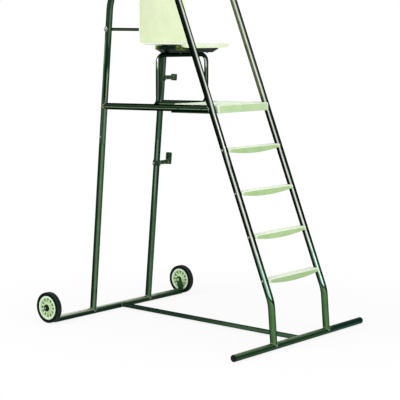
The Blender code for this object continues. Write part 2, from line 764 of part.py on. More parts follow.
def seat_profile():
    sit = PAN_UNDERSIDE + SEAT_SHELL_THICK
    front = SEAT_FRAME_X + SEAT_FRONT_REACH
    rear = front - SEAT_PAN_LENGTH
    lean = math.tan(SEAT_BACK_LEAN)
    top = Vector((rear - lean * SEAT_BACK_HEIGHT, 0, sit + SEAT_BACK_HEIGHT))
    corners = [Vector((front, 0, sit - SEAT_LIP_DROP)), Vector((front, 0, sit)), Vector((rear, 0, sit)),
               top, top - X_AXIS * SEAT_TOP_ROLL]
    radii = [SEAT_LIP_RADIUS, SEAT_BACK_BEND, SEAT_TOP_RADIUS]
    return rounded_path(corners, radii, [SEAT_LIP_STEPS, SEAT_BACK_BEND_STEPS, SEAT_TOP_STEPS])


def seat_point(profile, row, across):
    pan_row = SEAT_LIP_STEPS + 1
    back_row = pan_row + 1 + SEAT_BACK_BEND_STEPS
    share = min(max((row - pan_row) / (back_row - pan_row), 0), 1)
    facing = Matrix.Rotation((math.pi / 2 - SEAT_BACK_LEAN) * share, 3, Y_AXIS) @ Z_AXIS
    wrap = SEAT_PAN_DISH + (SEAT_BACK_WRAP - SEAT_PAN_DISH) * share
    rise = max(profile[row].z - profile[pan_row].z, 0) / SEAT_BACK_HEIGHT
    half_width = (INNER_FACE - SEAT_SIDE_CLEARANCE) * (1 - SEAT_BACK_TAPER * rise)
    return profile[row] + facing * wrap * abs(across) ** SEAT_WRAP_POWER + Y_AXIS * half_width * across


def build_seat(tools):
    profile = seat_profile()
    bm = bmesh.new()
    bmesh.ops.create_grid(bm, x_segments=len(profile) - 1, y_segments=SEAT_CROSS_STEPS, size=0.5)
    for vert in bm.verts:
        row = round((vert.co.x + 0.5) * (len(profile) - 1))
        vert.co = seat_point(profile, row, 2 * vert.co.y)
    bmesh.ops.reverse_faces(bm, faces=bm.faces)
    shell = add_part("seat_shell", mesh_from(bm, "seat_shell"), WHITE_PLASTIC)
    hollow(shell, SEAT_SHELL_THICK)
    bosses = bmesh.new()
    reach = PAN_UNDERSIDE + SEAT_SHELL_THICK / 2 - SADDLE_FLOOR - FIT_GAP
    boss = disc_profile(SEAT_BOSS_DIAMETER / 2, 0, reach)
    for _, place, direction in seat_screw_seats():
        foot = Vector((place.x, place.y, SADDLE_FLOOR + FIT_GAP))
        add_turned(bosses, boss, axis_matrix(foot, direction, X_AXIS), SEAT_TUBE_FACETS)
    join(shell, add_cutter("seat_bosses", mesh_from(bosses, "seat_bosses")))
    cut(shell, tools["seat_screws"])


def build_tie_rod():
    outer = HALF_SPACING + TUBE_RADIUS + FIT_GAP
    tip = outer + TIE_NUT_HEIGHT - TIE_NUT_ROOF - FIT_GAP
    centre = Vector((rear_leg_x(TIE_ROD_HEIGHT), 0, TIE_ROD_HEIGHT))
    reach = Y_AXIS * tip
    mesh = straight_mesh("tie_rod", centre - reach, centre + reach, TIE_ROD_RADIUS, BOLT_FACETS, X_AXIS, True)
    add_part("tie_rod", mesh, STEEL)
    bore = grown(TIE_ROD_RADIUS, BOLT_FACETS) / HEX_COS
    across = TIE_NUT_ACROSS / 2 / HEX_COS
    shoulder = TIE_NUT_HEIGHT - TIE_NUT_ROOF
    profile = [(0, shoulder), (bore, shoulder), (bore, 0), (across, 0), (across, shoulder),
               (bore, TIE_NUT_HEIGHT), (0, TIE_NUT_HEIGHT)]
    for side, sign in SIDES.items():
        matrix = axis_matrix(centre + Y_AXIS * sign * outer, Y_AXIS * sign, X_AXIS)
        name = "tie_rod_nut_" + side
        add_part(name, turned_mesh(name, profile, matrix, HEX_SIDES), BRIGHT_STEEL)


def tie_rod_hole():
    reach = Y_AXIS * (HALF_SPACING + TUBE_DIAMETER)
    centre = Vector((rear_leg_x(TIE_ROD_HEIGHT), 0, TIE_ROD_HEIGHT))
    radius = grown(TIE_ROD_RADIUS, BOLT_FACETS)
    mesh = straight_mesh("tie_rod_hole", centre - reach, centre + reach, radius, BOLT_FACETS, X_AXIS, True)
    return add_cutter("tie_rod_hole", mesh)


def holder_seat(height):
    return Vector((rear_leg_x(height), HALF_SPACING, height))


def collar_radius():
    return TUBE_RADIUS + FIT_GAP + COLLAR_WALL


def set_screw_seats():
    seats = []
    for label, height in (("cup", CUP_ARM_HEIGHT), ("ring", RING_ARM_HEIGHT)):
        place = holder_seat(height) - Y_AXIS * (collar_radius() + FIT_GAP)
        seats.append((label, place, Y_AXIS))
    return seats


def build_holder(name, height, collar_height, low, high, floor, leg_space, tools):
    centre = holder_seat(height)
    up = leg_direction()
    between_facets = Matrix.Rotation(math.pi / PARASOL_FACETS, 3, up) @ Y_AXIS
    frame = axis_matrix(centre, up, between_facets)
    profile = disc_profile(collar_radius(), -collar_height / 2, collar_height / 2)
    holder = add_part(name, turned_mesh(name, profile, frame, PARASOL_FACETS), STEEL)
    socket = centre + Y_AXIS * PARASOL_OFFSET
    start = centre + Y_AXIS * TUBE_RADIUS
    arm_radius = PARASOL_ARM_DIAMETER / 2
    mesh = straight_mesh(name + "_arm", start, socket, arm_radius, PARASOL_FACETS, X_AXIS, True)
    arm = add_cutter(name + "_arm", mesh)
    socket_frame = axis_matrix(socket, up, Y_AXIS)
    outside = disc_profile(CUP_OUTSIDE / 2, low, high)
    mesh = turned_mesh(name + "_outside", outside, socket_frame, PARASOL_FACETS)
    body = add_cutter(name + "_outside", mesh)
    inside = disc_profile(CUP_OUTSIDE / 2 - CUP_WALL, floor, high + CUT_MARGIN)
    bore = add_cutter(name + "_bore", turned_mesh(name + "_bore", inside, socket_frame, PARASOL_FACETS))
    join(holder, arm, body)
    cut(holder, bore, leg_space, tools["set_screws"])


def build_parasol_holder(tools):
    build_holder("parasol_cup", CUP_ARM_HEIGHT, CUP_COLLAR_HEIGHT, -CUP_BELOW_ARM, CUP_ABOVE_ARM,
                 CUP_FLOOR - CUP_BELOW_ARM, tools["leg_space_left"], tools)
    build_holder("parasol_ring", RING_ARM_HEIGHT, RING_COLLAR_HEIGHT, -RING_HEIGHT / 2, RING_HEIGHT / 2,
                 -RING_HEIGHT / 2 - CUT_MARGIN, tools["hoop_space_left"], tools)


def tangent_outline(first, first_radius, second, second_radius, steps):
    gap = second - first
    heading = math.atan2(gap.y, gap.x)
    spread = math.acos((first_radius - second_radius) / gap.length)
    outline = []
    for centre, radius, begin, end in ((second, second_radius, heading - spread, heading + spread),
                                       (first, first_radius, heading + spread,
                                        heading + math.tau - spread)):
        for step in range(steps + 1):
            angle = begin + (end - begin) * step / steps
            outline.append((centre.x + radius * math.cos(angle), centre.y + radius * math.sin(angle)))
    return outline


def build_wheel_plates():
    bar = Vector((REAR_X, BASE_HEIGHT))
    axle = Vector((AXLE_X, AXLE_HEIGHT))
    lower = BASE_HEIGHT - WHEEL_PLATE_SHRINK
    outline = tangent_outline(bar, lower, axle, WHEEL_PLATE_TOP, TUBE_FACETS // 2)
    for side, sign in SIDES.items():
        name = "wheel_plate_" + side
        middle = Vector((0, sign * (PLATE_INNER + PLATE_OUTER) / 2, 0))
        frame = axis_matrix(middle, -Y_AXIS, X_AXIS)
        plate = add_part(name, outline_mesh(name, outline, WHEEL_PLATE_THICK, frame), DARK_STEEL)
        bore = grown(AXLE_RADIUS, AXLE_FACETS)
        hole = disc_profile(bore, PLATE_INNER - CUT_MARGIN, PLATE_OUTER + CUT_MARGIN)
        mesh = turned_mesh(name + "_hole", hole, axle_frame(sign), AXLE_FACETS)
        cut(plate, add_cutter(name + "_hole", mesh))


def axle_frame(sign):
    return axis_matrix(Vector((AXLE_X, 0, AXLE_HEIGHT)), Y_AXIS * sign, X_AXIS)


def build_axles():
    head = AXLE_HEAD_ACROSS / 2 / HEX_COS
    head_end = PLATE_INNER - FIT_GAP
    for side, sign in SIDES.items():
        frame = axle_frame(sign)
        shank = disc_profile(AXLE_RADIUS, head_end - AXLE_HEAD_HEIGHT / 2, AXLE_END)
        name = "axle_bolt_" + side
        bolt = add_part(name, turned_mesh(name, shank, frame, AXLE_FACETS), BRIGHT_STEEL)
        hexagon = disc_profile(head, head_end - AXLE_HEAD_HEIGHT, head_end)
        join(bolt, add_cutter("axle_head_" + side, turned_mesh("axle_head", hexagon, frame, HEX_SIDES)))
        bore = grown(AXLE_RADIUS, AXLE_FACETS)
        washer_end = HUB_WASHER_START + WASHER_THICK
        profile = ring_profile(bore, HUB_WASHER_DIAMETER / 2, HUB_WASHER_START, washer_end)
        name = "hub_washer_" + side
        add_part(name, turned_mesh(name, profile, frame, AXLE_FACETS), BLACK_PLASTIC)
        profile = ring_profile(bore / HEX_COS, head, AXLE_NUT_START, AXLE_NUT_START + AXLE_NUT_HEIGHT)
        name = "axle_nut_" + side
        add_part(name, turned_mesh(name, profile, frame, HEX_SIDES), BRIGHT_STEEL)


def rim_profile(bore):
    half = WHEEL_WIDTH / 2
    lip_face = half - RIM_INSET
    outer = WHEEL_RADIUS - TYRE_DEPTH - FIT_GAP
    lip = outer - RIM_LIP
    hub = HUB_DIAMETER / 2
    web = half - WEB_RECESS
    return [(bore, -half - HUB_STAND_OFF), (hub, -half - HUB_STAND_OFF), (hub, -web), (lip, -web),
            (lip, -lip_face), (outer, -lip_face), (outer, lip_face), (lip, lip_face),
            (lip, web), (hub, web), (hub, half), (bore, half)]


def tyre_profile():
    half = WHEEL_WIDTH / 2
    seat = WHEEL_RADIUS - TYRE_DEPTH
    side = [(seat, RIM_INSET - half), (WHEEL_RADIUS - TYRE_SHOULDER, -half),
            (WHEEL_RADIUS - TYRE_CROWN, TYRE_CROWN_SIDE - half),
            (WHEEL_RADIUS, TYRE_CROWN_SIDE + TYRE_SHOULDER - half)]
    return side + [(radius, -along) for radius, along in reversed(side)]


def pocket_outline():
    inner = HUB_DIAMETER / 2 + POCKET_INNER_MARGIN
    outer = WHEEL_RADIUS - TYRE_DEPTH - RIM_LIP - POCKET_MARGIN
    outline = []
    for radius, order in ((inner, 1), (outer, -1)):
        reach = math.pi / POCKET_COUNT - POCKET_RIB / 2 / radius
        for step in range(POCKET_ARC_STEPS):
            angle = order * reach * (1 - 2 * step / (POCKET_ARC_STEPS - 1))
            outline.append((radius * math.cos(angle), radius * math.sin(angle)))
    return outline


def build_pockets(side, sign):
    name = "rim_pockets_" + side
    depth = POCKET_DEPTH + WEB_RECESS
    one = outline_mesh("pocket", pocket_outline(), depth, Matrix.Identity(4))
    bm = bmesh.new()
    for face in (-1, 1):
        lift = Matrix.Translation((0, 0, WHEEL_MIDDLE + face * (WHEEL_WIDTH - depth) / 2))
        for index in range(POCKET_COUNT):
            turn = Matrix.Rotation(math.tau * index / POCKET_COUNT, 4, "Z")
            piece = bmesh.new()
            piece.from_mesh(one)
            piece.transform(axle_frame(sign) @ lift @ turn)
            add_bmesh(bm, piece)
    return add_cutter(name, mesh_from(bm, name))


def build_wheels():
    bush_bore = (AXLE_RADIUS + RUNNING_GAP) / math.cos(math.pi / WHEEL_FACETS)
    bush_outside = bush_bore + BUSH_WALL
    half = WHEEL_WIDTH / 2
    for side, sign in SIDES.items():
        hub = bpy.data.objects.new("wheel_axis_" + side, None)
        hub.location = (AXLE_X, sign * WHEEL_MIDDLE, AXLE_HEIGHT)
        PARTS.objects.link(hub)
        turn = axis_matrix(Vector((0, 0, 0)), Y_AXIS * sign, X_AXIS)
        rim_bore = grown(bush_outside, WHEEL_FACETS)
        pieces = (("wheel_rim_", rim_profile(rim_bore), RIM_PLASTIC),
                  ("tyre_", tyre_profile(), BLACK_RUBBER),
                  ("hub_bush_", ring_profile(bush_bore, bush_outside, -half - HUB_STAND_OFF, half),
                   BLACK_PLASTIC))
        for name, profile, finish in pieces:
            piece = add_part(name + side, turned_mesh(name + side, profile, turn, WHEEL_FACETS), finish)
            piece.parent = hub
            if name == "wheel_rim_":
                cut(piece, build_pockets(side, sign))


def build_chair():
    tools = build_envelopes()
    wall_reach = 2 * TUBE_RADIUS + FIT_GAP
    bolt_length = wall_reach + BOLT_BITE
    tools["tread_bolts"] = add_fasteners("tread_bolt", tread_bolt_seats(), bolt_length)
    tools["footboard_bolts"] = add_fasteners("footboard_bolt", footboard_bolt_seats(), bolt_length)
    seat_length = SADDLE_SHEET + 2 * FIT_GAP + SCREW_BITE
    tools["seat_screws"] = add_fasteners("seat_screw", seat_screw_seats(), seat_length)
    spigot_length = FIT_GAP * 2 + TUBE_WALL + SPIGOT_WALL
    tools["spigot_screws"] = add_fasteners("spigot_screw", spigot_screw_seats(), spigot_length)
    tools["set_screws"] = add_fasteners("set_screw", set_screw_seats(), FIT_GAP + COLLAR_WALL)
    tools["tie_rod_hole"] = tie_rod_hole()
    build_base(tools)
    build_plugs()
    build_side_frames(tools)
    build_treads(tools)
    build_footboard(tools)
    build_seat_frame()
    build_saddle(tools)
    build_seat(tools)
    build_tie_rod()
    build_parasol_holder(tools)
    build_wheel_plates()
    build_axles()
    build_wheels()


clear_scene()
PARTS = new_collection("lifeguard_chair")
CUTTERS = new_collection("cutters")
build_chair()
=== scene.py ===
import math

import bmesh
import bpy
from mathutils import Matrix, Vector


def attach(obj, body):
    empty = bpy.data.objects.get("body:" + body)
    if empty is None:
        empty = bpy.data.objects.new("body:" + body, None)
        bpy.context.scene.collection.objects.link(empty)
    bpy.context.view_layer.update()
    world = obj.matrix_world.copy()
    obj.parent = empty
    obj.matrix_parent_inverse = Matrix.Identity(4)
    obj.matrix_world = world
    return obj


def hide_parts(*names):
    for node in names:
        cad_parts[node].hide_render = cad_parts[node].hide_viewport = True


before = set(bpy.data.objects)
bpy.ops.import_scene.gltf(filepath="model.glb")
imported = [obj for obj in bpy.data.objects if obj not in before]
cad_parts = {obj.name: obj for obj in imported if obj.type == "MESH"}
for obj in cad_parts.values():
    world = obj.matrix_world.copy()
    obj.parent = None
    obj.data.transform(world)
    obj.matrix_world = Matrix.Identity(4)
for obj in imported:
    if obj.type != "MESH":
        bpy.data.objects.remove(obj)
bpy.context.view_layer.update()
print("frame loaded:", len(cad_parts), "nodes")

xAxis, yAxis, zAxis = Vector((1, 0, 0)), Vector((0, 1, 0)), Vector((0, 0, 1))
sides = {"right": -1, "left": 1}
chair = {  # metres, shared by all the tube work
    "tubeRadius": 0.0215, "halfSpacing": 0.270, "frontX": 0.81076, "rearX": -0.71184, "barHeight": 0.02109,
    "rearLean": math.radians(5.23), "stileLean": math.radians(22.28), "footLean": math.radians(4.8),
    "footBendHeight": 0.2787, "footBendRadius": 0.250, "archRadius": 0.300, "clearance": 0.0003,
    "jointHeight": 1.148, "railHeight": 1.402, "railRise": 0.014, "tieRodHeight": 1.88963,
}


# places on the side frames

def stileX(height):
    bendX = chair["frontX"] - math.tan(chair["footLean"]) * (chair["footBendHeight"] - chair["barHeight"])
    return bendX - math.tan(chair["stileLean"]) * (height - chair["footBendHeight"])


def legX(height):
    return chair["rearX"] + math.tan(chair["rearLean"]) * (height - chair["barHeight"])


def hoopApex():
    rearSlope, stileSlope = math.tan(chair["rearLean"]), math.tan(chair["stileLean"])
    height = (stileX(0) - legX(0)) / (rearSlope + stileSlope)
    return Vector((legX(height), 0, height))


def railPoint(x):
    return railRear.lerp(railFront, (x - railRear.x) / (railFront.x - railRear.x))


radius = chair["tubeRadius"]
legUp = Vector((math.sin(chair["rearLean"]), 0, math.cos(chair["rearLean"])))
stileUp = Vector((-math.sin(chair["stileLean"]), 0, math.cos(chair["stileLean"])))
footUp = Vector((-math.sin(chair["footLean"]), 0, math.cos(chair["footLean"])))
railLow, railHigh = (chair["railHeight"] + chair["railRise"] * share for share in (-0.5, 0.5))
railRear, railFront = Vector((legX(railLow), 0, railLow)), Vector((stileX(railHigh), 0, railHigh))
heel, toe = (Vector((chair[end], 0, chair["barHeight"])) for end in ("rearX", "frontX"))


# material helpers

def linear(hexCode):
    parts = [int(hexCode[i:i + 2], 16) / 255 for i in (1, 3, 5)]
    return (*[c / 12.92 if c <= 0.04045 else ((c + 0.055) / 1.055) ** 2.4 for c in parts], 1.0)


def addNode(tree, kind, settings=None, links=None):
    node = tree.nodes.new("ShaderNode" + kind)
    for name, value in (settings or {}).items():
        if name == "stops":  # a ramp's colours, as (place, hex)
            for index, (place, hexCode) in enumerate(value):
                ramp = node.color_ramp.elements
                stop = ramp[index] if index < 2 else ramp.new(place)
                stop.position, stop.color = place, linear(hexCode)
        elif isinstance(name, int) or name in node.inputs:
            node.inputs[name].default_value = value
        else:
            setattr(node, name, value)
    for name, source in (links or {}).items():
        tree.links.new(source if hasattr(source, "is_output") else source.outputs[0], node.inputs[name])
    return node


def newMaterial(name, settings):
    material = bpy.data.materials.new(name)
    material.use_nodes = True
    tree = material.node_tree
    shader = tree.nodes["Principled BSDF"]
    for socket, value in settings.items():
        shader.inputs[socket].default_value = value
    place = addNode(tree, "TexCoord")
    return material, shader, place.outputs["Object"], place.outputs["Normal"]


# each of these adds a node to the tree that its first socket belongs to


def noise(vector, millimetres, detail):  # features of about this size
    settings = {"Scale": 1000 / millimetres, "Detail": detail}
    return addNode(vector.id_data, "TexNoise", settings, {"Vector": vector}).outputs[0]


def ranged(value, low, high, begin=0.0, full=1.0, ease="LINEAR"):
    settings = {"interpolation_type": ease, "From Min": begin, "From Max": full, "To Min": low, "To Max": high}
    return addNode(value.id_data, "MapRange", settings, {"Value": value}).outputs[0]


def maths(operation, *terms):
    fixed = {i: term for i, term in enumerate(terms) if isinstance(term, float)}
    linked = {i: term for i, term in enumerate(terms) if i not in fixed}
    return addNode(terms[0].id_data, "Math", {"operation": operation, **fixed}, linked).outputs[0]


def split(vector):
    return addNode(vector.id_data, "SeparateXYZ", None, {0: vector}).outputs


def ramped(value, stops):
    return addNode(value.id_data, "ValToRGB", {"stops": stops}, {"Fac": value}).outputs[0]


def mixed(share, under, over):
    settings, links = {"data_type": "RGBA"}, {"Factor": share, 6: under}
    if isinstance(over, str):
        settings[7] = linear(over)
    else:
        links[7] = over
    return addNode(share.id_data, "Mix", settings, links).outputs[2]


def within(axes, limits, share=None, ease="SMOOTHSTEP"):
    for axis, begin, full in limits:
        inside = ranged(axes[axis], 0.0, 1.0, begin, full, ease)
        share = inside if share is None else maths("MULTIPLY", share, inside)
    return share


def dress(shader, colour, uneven, roughness, swing, grain, strength, depth):
    gloss = ranged(uneven, roughness - swing[0], roughness + swing[1])
    bump = addNode(shader.id_data, "Bump", {"Strength": strength, "Distance": depth}, {"Height": grain})
    for source, socket in ((colour, "Base Color"), (gloss, "Roughness"), (bump.outputs[0], "Normal")):
        shader.id_data.links.new(source, shader.inputs[socket])


# Stainless tube, drawn and then polished lengthwise, with a faint lengthwise grain and a slightly uneven gloss.
# The pale streak and the near-black runs are painted: bands of colour round the tube, set out as its reflections
# lie in the photo, which stay in place from other sides. Each zone takes over within its limits along the axes,
# slant tips the zones' edges across the tube, and edge is the tint at a grazing look.
def polishedTube(name, across, zones, grainRun, wander, roughness, slant=0.0, edge="#4f5c50"):
    material, shader, spot, normal = newMaterial(name, {"Metallic": 1.0, "Specular Tint": linear(edge)})
    tree = material.node_tree
    run = addNode(tree, "Mapping", {"Scale": grainRun}, {"Vector": spot})
    facing = addNode(tree, "VectorMath", {"operation": "DOT_PRODUCT", 1: across}, {0: normal}).outputs["Value"]
    drift = ranged(noise(run, 18, 3.0), -wander, wander)
    turn = ranged(maths("ADD", facing, drift), 0.0, 1.0, -1.0, 1.0)
    axes = dict(zip("XYZ", split(spot)))
    axes["Z"] = maths("MULTIPLY_ADD", facing, slant, axes["Z"])
    for stops, limits in zones:  # the first zone has no limits
        tone = ramped(turn, stops)
        colour = mixed(within(axes, limits), colour, tone) if limits else tone
    blotch = noise(spot, 60, 4.0)
    stain = ranged(blotch, 1.06, 0.84, 0.35, 0.75)
    colour = addNode(tree, "Mix", {"data_type": "RGBA", "blend_type": "MULTIPLY", "Factor": 1.0},
                     {6: colour, 7: stain}).outputs[2]
    grain = noise(run, 2.5, 2.0)  # coarser than real, to show
    dress(shader, colour, blotch, roughness, (0.05, 0.09), grain, 0.06, 0.0004)
    return material


# Polypropylene, injection moulded: satin, with a fine moulded grain. What faces up and the boards' ends take their
# own painted tone, painted light from above and at the ends: near white on the treads and footboard, a little greyer
# on the seat. The sides keep the pale green.
def mouldedBoard(name, litTone, fresh, shade, roughness, litFacingRange, litEndRange):
    material, shader, spot, normal = newMaterial(name, {"IOR": 1.49})
    cloud = noise(spot, 90, 5.0)
    upward = maths("ADD", split(normal)["Z"], ranged(cloud, -0.14, 0.14))
    litFacing = ranged(upward, 0.0, 1.0, *litFacingRange, "SMOOTHSTEP")
    aside = maths("ABSOLUTE", split(spot)["Y"])
    # painted light at the boards' ends
    ends = ranged(aside, 0.0, 0.8, *litEndRange, "SMOOTHSTEP")
    body = ramped(cloud, [(0.30, shade), (0.62, fresh)])
    colour = mixed(maths("MAXIMUM", litFacing, ends), body, litTone)
    grit = noise(spot, 1.6, 2.0)  # coarser than real, to show
    dress(shader, colour, cloud, roughness, (0.07, 0.10), grit, 0.10, 0.0005)
    return material


# Small parts: one colour with a soft mottle, a fine grain and a slightly uneven gloss.
def plainFinish(name, dark, light, settings, roughness, mottle, grainSize, depth):
    material, shader, spot, normal = newMaterial(name, settings)
    tone = ramped(noise(spot, mottle, 4.0), [(0.32, dark), (0.68, light)])
    grain = noise(spot, grainSize, 3.0)
    dress(shader, tone, grain, roughness, (0.06, 0.10), grain, 0.15, depth)
    return material


# Polypropylene wheel centre, injection moulded: satin pale green on the lip and ribs, painted darker to olive down
# in the pockets as painted shade in the recesses.
def mouldedRim(name, middle, pocketShadeRange, stops, roughness):
    material, shader, spot, normal = newMaterial(name, {"IOR": 1.49})
    aside = maths("ABSOLUTE", split(spot)["Y"])
    proud = maths("ABSOLUTE", maths("SUBTRACT", aside, middle))
    cloud = noise(spot, 45, 3.0)
    level = maths("ADD", proud, ranged(cloud, -0.0012, 0.0012))
    # painted shade: darker the deeper the face lies
    tone = ramped(ranged(level, 0.0, 1.0, *pocketShadeRange), stops)
    dress(shader, tone, cloud, roughness, (0.06, 0.08), noise(spot, 1.6, 2.0), 0.10, 0.0004)
    return material


# Solid rubber, moulded: dull black walls, and the crown painted a lighter, mottled grey green.
def mouldedRubber(name, crownPale, crown, wall, roughness):
    material, shader, spot, normal = newMaterial(name, {"IOR": 1.52, "Specular IOR Level": 0.08})
    crownMottle = ramped(noise(spot, 16, 4.0), [(0.32, crown), (0.68, crownPale)])
    flank = ranged(maths("ABSOLUTE", split(normal)["Y"]), 0.0, 1.0, 0.35, 0.80)
    grain = noise(spot, 1.4, 3.0)
    dress(shader, mixed(flank, crownMottle, wall), grain, roughness, (0.06, 0.10), grain, 0.15, 0.0006)
    return material


# Pressed steel tray, stoved green-black paint: satin, with olive patches of painted light at the front near corner
# and the rear tip.
def paintWithLitPatches(name, dark, light, litPatch, litPatches, roughness):
    material, shader, spot, normal = newMaterial(name, {"IOR": 1.5, "Specular IOR Level": 0.04})
    cloud = noise(spot, 16, 5.0)
    colour = ramped(cloud, [(0.32, dark), (0.68, light)])
    litBreakup = ranged(cloud, 0.0, 1.0, 0.36, 0.60)
    # olive patches of painted light on the tray
    for limits in litPatches:
        colour = mixed(within(split(spot), limits, litBreakup, "LINEAR"), colour, litPatch)
    dress(shader, colour, cloud, roughness, (0.06, 0.10), noise(spot, 2.4, 2.0), 0.15, 0.0004)
    return material


# materials

# the bands are a painted reflection on the tube: a painted highlight between near-black runs
def streakBands(centre, reach):  # one pale streak between near-black runs
    marks = ((-1.9, "#0f160f"), (-1.0, "#6d766b"), (-0.4, "#dde4da"), (0.3, "#e2e9df"), (0.95, "#6a7368"),
             (1.7, "#1a211a"))
    run = [(centre + place * reach, tone) for place, tone in marks]
    return [(0.0, "#2a332b"), (0.07, "#0c130d")] + run + [(0.93, "#0e140e"), (1.0, "#39423a")]


acrossUpright = (0.758, 0.652, 0.0)  # level, square to the photo's line of sight
acrossLevel = (0.0, 0.0, 1.0)
alongZ, alongY, alongX = (1.0, 1.0, 0.06), (1.0, 0.06, 1.0), (0.06, 1.0, 1.0)  # grain stretched along an axis
paleEdge = "#b4bdb5"
rearRun, underRail = ("X", -0.22, -0.42), ("Z", 1.46, 1.40)
# these bands are painted reflections and painted shade on the polished tubes
# each list is one zone's bands round the tube, set from tones measured across the tubes in the photo
mirrored = [(0.0, "#6f7b5c"), (0.12, "#5d6a4c"), (0.26, "#4a5540"), (0.35, "#7d8673"), (0.44, "#e6eedd"),
            (0.53, "#dae2d1"), (0.62, "#62685e"), (0.74, "#30352f"), (0.88, "#1a201a"), (1.0, "#39423a")]
cool = [(0.0, "#1a2a20"), (0.14, "#0f2015"), (0.28, "#2a4035"), (0.37, "#6f8d7c"), (0.44, "#a5c4b3"),
        (0.51, "#9abaa9"), (0.58, "#66836f"), (0.66, "#3f5a4a"), (0.80, "#22382c"), (1.0, "#2b4336")]
crease = [(0.0, "#1d3122"), (0.30, "#10271a"), (0.70, "#0c2114"), (1.0, "#1d3122")]
olive = [(0.0, "#22331f"), (0.10, "#355037"), (0.30, "#47693f"), (0.52, "#557a4c"), (0.74, "#4b7046"),
         (0.90, "#3b5837"), (1.0, "#2f4a2f")]
shaded = [(0.0, "#33423a"), (0.14, "#344537"), (0.32, "#2b402e"), (0.48, "#1c3220"), (0.60, "#3a573f"),
          (0.74, "#4e6651"), (0.88, "#3b5041"), (1.0, "#354639")]
byLeftEdge = [(0.0, "#5f7560"), (0.09, "#8fa58a"), (0.16, "#6d8468"), (0.25, "#16301f"), (0.55, "#0f2a1a"),
              (0.75, "#203f2a"), (1.0, "#2a4634")]
byRightSide = [(0.0, "#42584a"), (0.10, "#5f7560"), (0.20, "#3a5040"), (0.34, "#0d2115"), (0.58, "#0d2115"),
               (0.66, "#76896f"), (0.73, "#b9c7ad"), (0.80, "#5d7459"), (0.90, "#213a29"), (1.0, "#2f4634")]
belowRail = [(0.0, "#3f5046"), (0.14, "#415243"), (0.32, "#384d36"), (0.48, "#2f4a2e"), (0.60, "#5a7457"),
             (0.70, "#6a8468"), (0.84, "#4c6350"), (1.0, "#3f5145")]
belowRailByHolder = [(0.0, "#2c3d32"), (0.14, "#1f3325"), (0.30, "#1f3526"), (0.42, "#405c46"), (0.52, "#557259"),
                     (0.64, "#3c5843"), (0.80, "#20382a"), (1.0, "#2f4035")]
# painted reflections and shade low on the hoops: a cool streak down the stile, a dark line at the foot's bend, the
# olive foot and the shaded rear leg
lowZones = [(cool, (("Z", 0.66, 0.40),)), (crease, (("Z", 0.316, 0.305),)), (olive, (("Z", 0.300, 0.286),)),
            (shaded, (rearRun,))]
